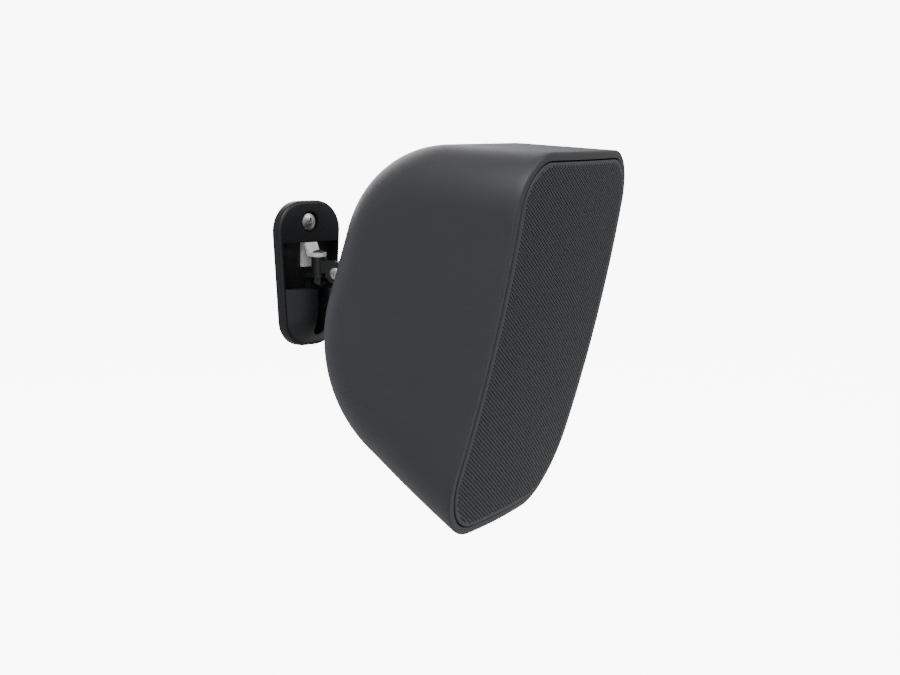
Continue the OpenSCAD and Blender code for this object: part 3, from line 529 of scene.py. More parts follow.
@dataclass(frozen=True)
class Finish:
    """One surface finish: its colours, gloss and relief.

    Args:
        name: the material's name.
        colour: the lighter tone, linear.
        shade: the darker tone, linear.
        roughness: the mean roughness.
        spread: how far the roughness swings.
        scale: texture repeats a metre.
        relief: bump height in metres.
        group: the effect that it uses.
        metallic: 1 for bare metal.
        coat: weight of a clear coat.
        sheen: weight of a cloth sheen.
        specular: reflection level, 0.5 for common plastic.
    """

    name: str
    colour: Colour
    shade: Colour
    roughness: float
    spread: float
    scale: float
    relief: float
    group: Groups = Groups.GRAIN
    metallic: float = 0.0
    coat: float = 0.0
    sheen: float = 0.0
    specular: float = 0.5

    def material(self, shop: GroupShop) -> bpy.types.Material:
        """Build the material.

        Args:
            shop: the node groups.

        Returns:
            The new material.
        """
        material = bpy.data.materials.new(self.name)
        material.use_nodes = True
        tree = material.node_tree
        shader = tree.nodes["Principled BSDF"]
        shader.inputs["Metallic"].default_value = self.metallic
        shader.inputs["Coat Weight"].default_value = self.coat
        shader.inputs["Sheen Weight"].default_value = self.sheen
        shader.inputs["Specular IOR Level"].default_value = self.specular
        effect = tree.nodes.new("ShaderNodeGroup")
        effect.node_tree = shop.groups[self.group]
        effect.inputs["Colour"].default_value = (*self.colour, 1.0)
        effect.inputs["Shade"].default_value = (*self.shade, 1.0)
        effect.inputs["Scale"].default_value = self.scale
        if "Roughness" in effect.inputs:
            effect.inputs["Roughness"].default_value = self.roughness
            effect.inputs["Spread"].default_value = self.spread
            tree.links.new(effect.outputs["Roughness"], shader.inputs["Roughness"])
        else:
            shader.inputs["Roughness"].default_value = self.roughness
        bump = tree.nodes.new("ShaderNodeBump")
        bump.inputs["Distance"].default_value = self.relief
        tree.links.new(effect.outputs["Height"], bump.inputs["Height"])
        tree.links.new(effect.outputs["Colour"], shader.inputs["Base Color"])
        tree.links.new(bump.outputs["Normal"], shader.inputs["Normal"])
        return material


HOUSING_PLASTIC = Finish(
    "housing_plastic", (0.0285, 0.029, 0.0335), (0.0215, 0.022, 0.026),
    0.5, 0.10, 2600.0, 0.00003,
)
BRACKET_PLASTIC = Finish(
    "bracket_plastic", (0.0075, 0.008, 0.0092), (0.0046, 0.005, 0.006),
    0.46, 0.12, 2200.0, 0.00003, specular=0.4,
)
GRILLE_PAINT = Finish(
    "grille_paint", (0.036, 0.0365, 0.0385), (0.025, 0.0255, 0.027),
    0.5, 0.10, 3000.0, 0.00001,
)
ZINC = Finish(
    "bright_zinc", (0.62, 0.62, 0.61), (0.42, 0.42, 0.41),
    0.38, 0.25, 260.0, 0.00002, Groups.BRUSHED, metallic=1.0,
)
DULL_ZINC = Finish(
    "dull_zinc", (0.68, 0.68, 0.68), (0.55, 0.55, 0.55),
    0.6, 0.1, 300.0, 0.00002, Groups.BRUSHED, metallic=0.25,
)
BOLT_STEEL = Finish(
    "bolt_steel", (0.2, 0.2, 0.205), (0.12, 0.12, 0.125),
    0.26, 0.1, 400.0, 0.00001, Groups.BRUSHED, metallic=1.0,
)
BLACK_STEEL = Finish(
    "black_oxide", (0.030, 0.030, 0.032), (0.015, 0.015, 0.016),
    0.38, 0.2, 500.0, 0.00002, Groups.BRUSHED, metallic=0.6,
)
NYLON = Finish(
    "natural_nylon", (0.62, 0.61, 0.57), (0.5, 0.49, 0.45),
    0.5, 0.1, 900.0, 0.00002,
)
BRASS = Finish(
    "turned_brass", (0.72, 0.52, 0.22), (0.5, 0.34, 0.13),
    0.3, 0.2, 700.0, 0.00002, Groups.BRUSHED, metallic=1.0,
)
INNER_PLASTIC = Finish(
    "inner_plastic", (0.026, 0.026, 0.028), (0.016, 0.016, 0.018),
    0.55, 0.1, 1800.0, 0.00003,
)
CLOTH = Finish(
    "acoustic_cloth", (0.010, 0.010, 0.011), (0.003, 0.003, 0.003),
    0.9, 0.0, 1400.0, 0.0001, Groups.WEAVE, sheen=0.2,
)
FRAME_PAINT = Finish(
    "driver_frame_paint", (0.07, 0.072, 0.076), (0.045, 0.046, 0.05),
    0.45, 0.1, 1500.0, 0.00002,
)
MOTOR_STEEL = Finish(
    "motor_steel", (0.55, 0.56, 0.57), (0.36, 0.37, 0.39),
    0.4, 0.2, 300.0, 0.00002, Groups.BRUSHED, metallic=1.0,
)
FERRITE = Finish(
    "ferrite", (0.055, 0.055, 0.058), (0.03, 0.03, 0.033),
    0.75, 0.15, 1200.0, 0.00008,
)
MAGNET_PLATE = Finish(
    "nickel_plate", (0.66, 0.65, 0.62), (0.5, 0.49, 0.46),
    0.25, 0.1, 300.0, 0.00001, Groups.BRUSHED, metallic=1.0,
)
PAPER = Finish(
    "pressed_paper", (0.036, 0.036, 0.038), (0.018, 0.018, 0.019),
    0.85, 0.1, 900.0, 0.00018,
)
COPPER = Finish(
    "enamelled_copper", (0.62, 0.26, 0.11), (0.36, 0.13, 0.05),
    0.3, 0.15, 1500.0, 0.00012, Groups.BRUSHED, metallic=0.9, coat=0.4,
)
RUBBER = Finish(
    "butyl_rubber", (0.022, 0.022, 0.023), (0.013, 0.013, 0.014),
    0.6, 0.1, 1600.0, 0.00003,
)
SPIDER_CLOTH = Finish(
    "dipped_cotton", (0.5, 0.36, 0.15), (0.3, 0.2, 0.08),
    0.8, 0.0, 2400.0, 0.0001, Groups.WEAVE,
)
SILK = Finish(
    "doped_silk", (0.06, 0.06, 0.065), (0.035, 0.035, 0.04),
    0.55, 0.0, 3500.0, 0.00004, Groups.WEAVE,
)
BOARD = Finish(
    "solder_mask", (0.03, 0.14, 0.06), (0.02, 0.09, 0.04),
    0.3, 0.1, 700.0, 0.00002, coat=0.4,
)
SLEEVE = Finish(
    "capacitor_sleeve", (0.04, 0.09, 0.22), (0.025, 0.06, 0.15),
    0.3, 0.1, 600.0, 0.00001, coat=0.3,
)
CERAMIC = Finish(
    "resistor_ceramic", (0.66, 0.64, 0.58), (0.52, 0.5, 0.45),
    0.8, 0.1, 1300.0, 0.00008,
)
RED_PLASTIC = Finish(
    "lever_red_plastic", (0.48, 0.02, 0.018), (0.36, 0.012, 0.012),
    0.32, 0.1, 1500.0, 0.00002,
)
BLACK_PLASTIC = Finish(
    "lever_black_plastic", (0.02, 0.02, 0.021), (0.012, 0.012, 0.013),
    0.32, 0.1, 1500.0, 0.00002,
)
CONTACT = Finish(
    "contact_brass", (0.74, 0.6, 0.3), (0.55, 0.42, 0.2),
    0.3, 0.15, 500.0, 0.00001, Groups.BRUSHED, metallic=1.0,
)
WADDING = Finish(
    "polyester_wadding", (0.74, 0.73, 0.69), (0.5, 0.49, 0.46),
    0.95, 0.0, 500.0, 0.0008, sheen=0.3,
)
LEAD_SLEEVE = Finish(
    "lead_sleeve", (0.2, 0.02, 0.02), (0.13, 0.012, 0.012),
    0.4, 0.1, 900.0, 0.00002,
)
FLOOR_PAINT = Finish(
    "floor_paint", (0.42, 0.425, 0.43), (0.4, 0.405, 0.41),
    0.7, 0.05, 40.0, 0.00002,
)

WEARERS: tuple[tuple[Finish, str], ...] = (
    (BLACK_STEEL, "wall_back_plate pan_nut yoke_screws baffle_screws woofer_screws tweeter_screws"),
    (BRACKET_PLASTIC, "wall_base knuckle cabinet_yoke"),
    (ZINC, "lock_screw tilt_bolt tilt_nut board_screws terminal_screws"),
    (DULL_ZINC, "steel_bracket bracket_rivets"),
    (BOLT_STEEL, "pan_bolt"),
    (NYLON, "pan_washers tilt_washers"),
    (BRASS, "brass_inserts"),
    (HOUSING_PLASTIC, "housing"),
    (INNER_PLASTIC, "front_baffle tweeter_faceplate port_tube_left port_tube_right terminal_plate"),
    (GRILLE_PAINT, "grille"),
    (CLOTH, "grille_cloth"),
    (FRAME_PAINT, "woofer_frame"),
    (RUBBER, "woofer_gasket woofer_surround"),
    (MOTOR_STEEL, "woofer_top_plate woofer_yoke tweeter_pot"),
    (FERRITE, "woofer_magnet"),
    (PAPER, "woofer_cone woofer_dust_cap"),
    (COPPER, "voice_coil woofer_inductor tweeter_inductor"),
    (SPIDER_CLOTH, "woofer_spider"),
    (SILK, "tweeter_dome"),
    (MAGNET_PLATE, "tweeter_magnet"),
    (BOARD, "crossover_board"),
    (SLEEVE, "capacitors"),
    (CERAMIC, "resistor"),
    (RED_PLASTIC, "lever_red"),
    (BLACK_PLASTIC, "lever_black"),
    (CONTACT, "terminal_contacts"),
    (WADDING, "wadding"),
    (LEAD_SLEEVE, "input_lead woofer_lead tweeter_lead"),
)

NODE_FINISHES = {node: finish for finish, nodes in WEARERS for node in nodes.split()}


class Wardrobe:
    """Makes each finish's material once and puts it on pieces."""

    def __init__(self) -> None:
        """Build the node groups; materials follow as they are asked for."""
        self.shop = GroupShop()
        self.made: dict[str, bpy.types.Material] = {}

    def dress(self, obj: bpy.types.Object, finish: Finish) -> None:
        """Give an object one finish all over.

        Args:
            obj: the object.
            finish: its finish.
        """
        if finish.name not in self.made:
            self.made[finish.name] = finish.material(self.shop)
        obj.data.materials.clear()
        obj.data.materials.append(self.made[finish.name])


# The cabinet


@dataclass(frozen=True)
class CabinetForm:
    """The moulded cabinet's outer form, in its own frame.

    The side profile is a roof, a back and an underside joined by two large radii. Its long
    edges are rounded by a radius that changes with the way the surface faces, and the sides
    draw in towards the back.
    """

    width: float = 172.0
    height: float = 239.0
    depth: float = 121.5
    roof_slope: float = 10.5
    floor_slope: float = 21.9
    back_lean: float = 3.9
    shoulder_r: float = 71.5
    heel_r: float = 90.0
    roof_edge_r: float = 35.5
    floor_edge_r: float = 48.4
    back_edge_r: float = 21.2
    back_taper: float = 0.29
    taper_reach: float = 1.05
    bow_x: float = 4.0
    bow_z: float = 6.0
    straight_steps: int = 12
    arc_steps: int = 22
    edge_steps: int = 16
    crown_steps: int = 10
    side_steps: int = 24

    def roof_z(self, y: float) -> float:
        """Height of the roof line at depth y."""
        return self.height / 2 - math.tan(math.radians(self.roof_slope)) * y

    def floor_z(self, y: float) -> float:
        """Height of the underside at depth y."""
        return -self.height / 2 + math.tan(math.radians(self.floor_slope)) * y

    def back_y(self, z: float) -> float:
        """Depth of the back face at height z."""
        return self.depth - math.tan(math.radians(self.back_lean)) * z

    def taper(self, y: float) -> float:
        """Share of the full width that is left at depth y."""
        return 1 - self.back_taper * min(max(y / self.depth, 0.0), self.taper_reach) ** 2

    def bow(self, x: float, z: float) -> float:
        """Depth of the bowed front at a point across it.

        Args:
            x: the point's distance from the middle.
            z: its height.

        Returns:
            The depth, less than zero where the front stands proud of its corners.
        """
        across = 1 - (2 * x / self.width) ** 2
        upright = 1 - (2 * z / self.height) ** 2
        return -self.bow_x * across - self.bow_z * upright

    def front(self, shift: float) -> Front:
        """The bowed front moved back by shift, as a function of x and z."""
        return lambda x, z: self.bow(x, z) + shift

    def edge_r(self, nz: float) -> float:
        """Radius of the long edge where the profile's normal has height nz."""
        target = self.roof_edge_r if nz > 0 else self.floor_edge_r
        return self.back_edge_r + (target - self.back_edge_r) * nz * nz

    def arcs(self) -> tuple[list[ProfilePoint], list[ProfilePoint]]:
        """The shoulder and heel arcs.

        Returns:
            Two lists of profile points as (y, z, ny, nz), from the roof to the underside.
        """
        lean = math.tan(math.radians(self.back_lean))
        roof = math.tan(math.radians(self.roof_slope))
        floor = math.tan(math.radians(self.floor_slope))
        roof_a = 90 - self.roof_slope
        floor_a = self.floor_slope - 90
        top_y = (self.depth - lean * self.height / 2) / (1 - lean * roof)
        low_y = (self.depth + lean * self.height / 2) / (1 + lean * floor)
        return (
            self._arc((top_y, self.roof_z(top_y)), roof_a, self.back_lean, self.shoulder_r),
            self._arc((low_y, self.floor_z(low_y)), self.back_lean, floor_a, self.heel_r),
        )

    def _arc(self, tip: Spot, a: float, b: float, r: float) -> list[ProfilePoint]:
        """Points along the arc that rounds a corner of the profile.

        Args:
            tip: the sharp corner's depth and height.
            a: direction of the first face's normal, degrees.
            b: direction of the second face's normal, degrees.
            r: the arc's radius.

        Returns:
            The points with their normals.
        """
        centre = corner_centre(tip, a, b, r)
        points = []
        for i in range(self.arc_steps + 1):
            t = math.radians(mix(a, b, i / self.arc_steps))
            ny, nz = math.cos(t), math.sin(t)
            points.append((centre.x + r * ny, centre.y + r * nz, ny, nz))
        return points

    def skin(self, p: ProfilePoint, f: float, a: float, inset: float) -> Point:
        """Point of the skin.

        Args:
            p: a profile point with its normal.
            f: share of the crown's half width, 1 at the start of the rounded edge.
            a: angle round the long edge, 0 on the crown and 90 on the side.
            inset: how far inside the outer surface.

        Returns:
            The point.
        """
        r = self.edge_r(p[3]) - inset
        turn = math.radians(a)
        drop = inset + r * (1 - math.cos(turn))
        y = p[0] - p[2] * drop
        half = self.width / 2 - inset - r * (1 - math.sin(turn))
        return f * half * self.taper(y), y, p[1] - p[3] * drop

    def start(self, roof: bool, f: float, a: float, inset: float, front: Front) -> ProfilePoint:
        """Profile point whose skin point lies on the front surface.

        Args:
            roof: True on the roof, False on the underside.
            f: share of the crown.
            a: edge angle.
            inset: distance inside the outer surface.
            front: the surface that ends the skin.

        Returns:
            The profile point.
        """
        slope = math.radians(90 - self.roof_slope if roof else self.floor_slope - 90)
        height = self.roof_z if roof else self.floor_z
        y = 0.0
        for _ in range(SETTLE_STEPS):
            x, py, pz = self.skin((y, height(y), math.cos(slope), math.sin(slope)), f, a, inset)
            y += front(x, pz) - py
        return y, height(y), math.cos(slope), math.sin(slope)

    def lanes(self) -> list[tuple[float, float]]:
        """The crown shares and edge angles from the middle to the side."""
        crown = [(i / self.crown_steps, 0.0) for i in range(self.crown_steps)]
        return crown + [(1.0, 90 * i / self.edge_steps) for i in range(self.edge_steps + 1)]

    def row(self, f: float, a: float, inset: float, front: Front) -> list[Point]:
        """One line of the skin from the front of the roof round to the front of the underside.

        Args:
            f: share of the crown.
            a: edge angle.
            inset: distance inside the outer surface.
            front: the surface that ends it.

        Returns:
            Its points.
        """
        shoulder, heel = self.arcs()
        top = self.start(True, f, a, inset, front)
        low = self.start(False, f, a, inset, front)
        steps = self.straight_steps
        path = [between(top, shoulder[0], i / steps) for i in range(steps)]
        path += shoulder + [between(shoulder[-1], heel[0], 0.5)] + heel
        path += [between(heel[-1], low, i / steps) for i in range(1, steps + 1)]
        return [self.skin(p, f, a, inset) for p in path]

    def side_column(
        self, upper: Point, lower: Point, lift: float, inset: float, front: Front
    ) -> list[Point]:
        """Points down the side panel between two points of its outline.

        Args:
            upper: the outline's upper point.
            lower: the outline's lower point.
            lift: share of the front's bow that the column follows, 1 at the front.
            inset: distance inside the outer surface.
            front: the front surface.

        Returns:
            The column from upper to lower.
        """
        column = [upper]
        half = self.width / 2 - inset
        for i in range(1, self.side_steps):
            t = i / self.side_steps
            y = mix(upper[1], lower[1], t)
            z = mix(upper[2], lower[2], t)
            y = mix(y, front(half, z), lift)
            column.append((half * self.taper(y), y, z))
        return column + [lower]

    def ring(self, inset: float, front: Front) -> list[Point]:
        """Right half of a ring that lies on a front surface, from the roof's middle down.

        Args:
            inset: distance inside the outer surface.
            front: the surface that the ring lies on.

        Returns:
            The ring's points.
        """
        lanes = self.lanes()
        top = [self.skin(self.start(True, f, a, inset, front), f, a, inset) for f, a in lanes]
        low = [self.skin(self.start(False, f, a, inset, front), f, a, inset) for f, a in lanes]
        side = self.side_column(top[-1], low[-1], 1.0, inset, front)
        return top + side[1:-1] + low[::-1]

    def add_skin(self, draft: MeshDraft, inset: float, front: Front) -> None:
        """Draw the right half of the skin.

        Args:
            draft: the mesh draft.
            inset: distance inside the outer surface.
            front: the surface that ends it.
        """
        rows = [self.row(f, a, inset, front) for f, a in self.lanes()]
        for near, far in zip(rows, rows[1:]):
            draft.strip(near, far)
        outline = rows[-1]
        count = len(outline)
        columns = []
        for i in range(count // 2):
            lift = max(1 - i / self.straight_steps, 0.0)
            columns.append(self.side_column(outline[i], outline[count - 1 - i], lift, inset, front))
        for near, far in zip(columns, columns[1:]):
            draft.strip(near, far)
        draft.fan(columns[-1], outline[count // 2])


@dataclass(frozen=True)
class Hanging:
    """Where the cabinet's frame lies at rest, read from the joints.

    Args:
        joints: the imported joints.
        form: the cabinet's form.
    """

    joints: list[dict]
    form: CabinetForm
    tilt_back: float = 20.2
    tilt_z: float = 1.0

    def matrix(self) -> Matrix:
        """Work out where the cabinet's frame lies.

        Returns:
            The matrix from the cabinet's frame in millimetres to the row frame in metres.
        """
        by_name = {joint["name"]: joint for joint in self.joints}
        across = Vector(by_name["tilt"]["axis"]).normalized()
        back = Vector(by_name["woofer_travel"]["axis"]).normalized()
        up = across.cross(back).normalized()
        pivot_y = self.form.back_y(self.tilt_z) + self.tilt_back
        origin = Vector(by_name["tilt"]["pos_m"]) - (back * pivot_y + up * self.tilt_z) * MM
        turn = Matrix((across, back, up)).transposed().to_4x4()
        return Matrix.Translation(origin) @ turn @ Matrix.Scale(MM, 4)


@dataclass(frozen=True)
class Housing:
    """The moulded housing: outer skin, rolled rim, grille pocket, inner skin and terminal bay."""

    form: CabinetForm
    wall: float = 3.0
    rim_w: float = 5.0
    outer_edge_r: float = 1.2
    inner_edge_r: float = 0.5
    edge_steps: int = 4
    pocket_depth: float = 9.0
    seat_w: float = 1.5
    ledge_y: float = 13.0
    ledge_w: float = 8.0
    ledge_t: float = 4.0
    bay_w: float = 50.0
    bay_h: float = 40.0
    bay_z: float = -46.0
    bay_y: float = 98.0
    bay_corner_r: float = 2.5
    bay_hole_w: float = 34.0
    bay_hole_h: float = 24.0
    bay_hole_r: float = 1.0
    core_inset: float = 1.0

    @property
    def cavity_y(self) -> float:
        """Depth of the ledge's back, where the inner skin starts."""
        return self.ledge_y + self.ledge_t

    def rings(self) -> list[list[Point]]:
        """Draw the mouth of the housing.

        Returns:
            Rings from the outer skin over the rim and down the pocket to the inner skin.
        """
        front = self.form.front
        pocket = front(self.pocket_depth)
        ledge = flat(self.ledge_y)
        cavity = flat(self.cavity_y)
        seat = self.rim_w + self.seat_w
        mouth = self.rim_w + self.ledge_w
        edge = quarter_turn(self.edge_steps)
        path = [(self.outer_edge_r * gone, front(self.outer_edge_r * left)) for gone, left in edge]
        path += [(self.rim_w - self.inner_edge_r * left, front(self.inner_edge_r * gone))
                 for gone, left in edge]
        path += [(self.rim_w, pocket), (seat, pocket), (seat, ledge)]
        path += [(mouth, ledge), (mouth, cavity), (self.wall, cavity)]
        return [self.form.ring(inset, surface) for inset, surface in path]

    def build(self, place: Matrix) -> bpy.types.Object:
        """Make the housing.

        Args:
            place: the cabinet's matrix.

        Returns:
            The housing's object.
        """
        draft = MeshDraft()
        self.form.add_skin(draft, 0.0, self.form.front(self.outer_edge_r))
        rings = self.rings()
        for near, far in zip(rings, rings[1:]):
            draft.strip(near, far)
        self.form.add_skin(draft, self.wall, flat(self.cavity_y))
        draft.mirror()
        shell = draft.object("housing_skin", place)
        self.cut_bay(shell, place)
        shade_by_angle(shell)
        return shell

    def cut_bay(self, shell: bpy.types.Object, place: Matrix) -> None:
        """Sink the terminal bay into the back.

        Args:
            shell: the housing.
            place: the cabinet's matrix.
        """
        draft = MeshDraft()
        front = flat(self.ledge_y)
        self.form.add_skin(draft, self.core_inset, front)
        draft.mirror()
        mouth = whole_ring(self.form.ring(self.core_inset, front))
        draft.faces.append(tuple(draft.add(mouth)))
        core = draft.object("bay_core", place)
        far_y = 2 * self.form.depth
        half_w, half_h = self.bay_w / 2, self.bay_h / 2
        grown = rounded_rectangle(
            half_w + self.wall, half_h + self.wall, self.bay_z, self.bay_corner_r + self.wall
        )
        tub = prism("bay_tub", grown, self.bay_y - self.wall, far_y, place)
        cut(tub, core, Cut.OVERLAP)
        cut(shell, tub, Cut.JOIN)
        recess = rounded_rectangle(half_w, half_h, self.bay_z, self.bay_corner_r)
        cut(shell, prism("bay_recess", recess, self.bay_y, far_y, place), Cut.REMOVE)
        hole = rounded_rectangle(self.bay_hole_w / 2, self.bay_hole_h / 2, self.bay_z, self.bay_hole_r)
        cut(shell, prism("bay_hole", hole, self.ledge_y, far_y, place), Cut.REMOVE)


@dataclass(frozen=True)
class PerforatedGrille:
    """The bowed steel grille with its fine hexagonal perforation."""

    form: CabinetForm
    inset: float = 5.8
    proud: float = 0.4
    thickness: float = 0.8
    edge_r: float = 0.9
    edge_steps: int = 4
    border: float = 1.3
    pitch: float = 2.3
    hole_share: float = 0.66
    return_depth: float = 8.4
    return_y: float = 5.6

    @property
    def side(self) -> float:
        """Side of one hexagonal cell."""
        return self.pitch / math.sqrt(3)

    def middle(self, i: int, j: int) -> Spot:
        """Middle of the cell in column i and row j."""
        return 1.5 * self.side * i, self.pitch * (j + 0.5 * (i % 2))

    def _inside(self, points: np.ndarray, outline: np.ndarray) -> np.ndarray:
        """Which points lie inside an outline.

        Args:
            points: an array of x and z.
            outline: the closed outline's x and z.

        Returns:
            True for each point inside.
        """
        inside = np.zeros(len(points), bool)
        for (x0, z0), (x1, z1) in zip(outline, np.roll(outline, -1, axis=0)):
            spans = (z0 > points[:, 1]) != (z1 > points[:, 1])
            if not spans.any():
                continue
            crossing = x0 + (points[:, 1] - z0) * (x1 - x0) / (z1 - z0 + TINY)
            inside ^= spans & (points[:, 0] < crossing)
        return inside

    def cells(self) -> list[tuple[int, int]]:
        """Choose the cells of the perforation.

        Returns:
            Columns and rows of the hexagons that lie wholly inside the border.
        """
        zone = whole_ring(self.form.ring(self.inset + self.border, self.form.front(0.0)))
        outline = np.array([(x, z) for x, _, z in zone])
        cols = int(self.form.width / 2 / (1.5 * self.side)) + 1
        rows = int(self.form.height / 2 / self.pitch) + 2
        grid = [(i, j) for i in range(-cols, cols + 1) for j in range(-rows, rows + 1)]
        keep = np.ones(len(grid), bool)
        for k in range(6):
            turn = math.radians(60 * k)
            shift = (self.side * math.cos(turn), self.side * math.sin(turn))
            tips = np.array([self.middle(i, j) for i, j in grid]) + np.array(shift)
            keep &= self._inside(tips, outline)
        return [cell for cell, ok in zip(grid, keep) if ok]

    def build(self, place: Matrix) -> bpy.types.Object:
        """Make the grille: perforated face, plain border, rolled edge and return.

        Args:
            place: the cabinet's matrix.

        Returns:
            The grille's object.
        """
        face = self.form.front(-self.proud)
        draft = MeshDraft()
        corner_ids: dict[tuple[int, int], int] = {}
        edge_count: dict[tuple[int, int], int] = {}
        steps = ((2, 0), (1, 1), (-1, 1), (-2, 0), (-1, -1), (1, -1))
        for i, j in self.cells():
            col = 3 * i
            row = 2 * j + i % 2
            outer = []
            hole = []
            for du, dv in steps:
                key = (col + du, row + dv)
                if key not in corner_ids:
                    x, z = key[0] * self.side / 2, key[1] * self.pitch / 2
                    corner_ids[key] = draft.add([(x, face(x, z), z)])[0]
                outer.append(corner_ids[key])
                x = (col + du * self.hole_share) * self.side / 2
                z = (row + dv * self.hole_share) * self.pitch / 2
                hole.append((x, face(x, z), z))
            rim = draft.add(hole)
            foot = draft.add([(x, y + self.thickness, z) for x, y, z in hole])
            for k in range(6):
                n = (k + 1) % 6
                draft.faces.append((outer[k], outer[n], rim[n], rim[k]))
                draft.faces.append((rim[k], rim[n], foot[n], foot[k]))
                pair = (min(outer[k], outer[n]), max(outer[k], outer[n]))
                edge_count[pair] = edge_count.get(pair, 0) + 1
        self._border(draft, [pair for pair, uses in edge_count.items() if uses == 1])
        self._edge(draft)
        grille = draft.object("grille_perforated", place)
        shade_by_angle(grille)
        return grille

    def _border(self, draft: MeshDraft, seam: list[tuple[int, int]]) -> None:
        """Fill the plain border between the holes and the rolled edge.

        Args:
            draft: the mesh draft.
            seam: the pairs of points along the perforation's ragged outline.
        """
        face = self.form.front(-self.proud)
        ring = whole_ring(self.form.ring(self.inset + self.edge_r, face))
        ring_ids = draft.add(ring)
        seam_ids = sorted({i for pair in seam for i in pair})
        ids = ring_ids + seam_ids
        place = {v: k for k, v in enumerate(ids)}
        plan = [Vector((draft.points[i][0], draft.points[i][2])) for i in ids]
        edges = [(k, (k + 1) % len(ring_ids)) for k in range(len(ring_ids))]
        edges += [(place[a], place[b]) for a, b in seam]
        verts, _, faces, origins, _, _ = delaunay_2d_cdt(plan, edges, [], 0, FLAT_WELD)
        source = [ids[o[0]] if o else -1 for o in origins]
        outline = np.array([(p[0], p[2]) for p in ring])
        middles = np.array([sum((verts[i] for i in f), Vector((0.0, 0.0))) / len(f) for f in faces])
        inside = self._inside(middles, outline)
        holes = self._holes(middles)
        for f, keep, hole in zip(faces, inside, holes):
            if keep and not hole and all(source[i] >= 0 for i in f):
                draft.faces.append(tuple(source[i] for i in f))

    def _holes(self, middles: np.ndarray) -> list[bool]:
        """Which points lie in a perforated cell.

        Args:
            middles: an array of x and z.

        Returns:
            True for each point in a cell.
        """
        cells = set(self.cells())
        found = []
        for x, z in middles:
            near = round(x / (1.5 * self.side))
            gaps = []
            for i in (near - 1, near, near + 1):
                j = round(z / self.pitch - 0.5 * (i % 2))
                cell_x, cell_z = self.middle(i, j)
                gaps.append(((x - cell_x) ** 2 + (z - cell_z) ** 2, (i, j)))
            found.append(min(gaps, key=lambda gap: gap[0])[1] in cells)
        return found

    def _edge(self, draft: MeshDraft) -> None:
        """Roll the edge over and run the return back into the pocket.

        Args:
            draft: the mesh draft.
        """
        form = self.form
        deep: Front = lambda x, z: min(form.bow(x, z) + self.return_depth, self.return_y)
        path = [(self.inset + self.edge_r * left, form.front(self.edge_r * gone - self.proud))
                for gone, left in quarter_turn(self.edge_steps)]
        path += [(self.inset, deep), (self.inset + self.thickness, deep)]
        rings = [whole_ring(form.ring(inset, surface)) for inset, surface in path]
        for near, far in zip(rings, rings[1:]):
            draft.strip(near, far, closed=True)


# The wall base


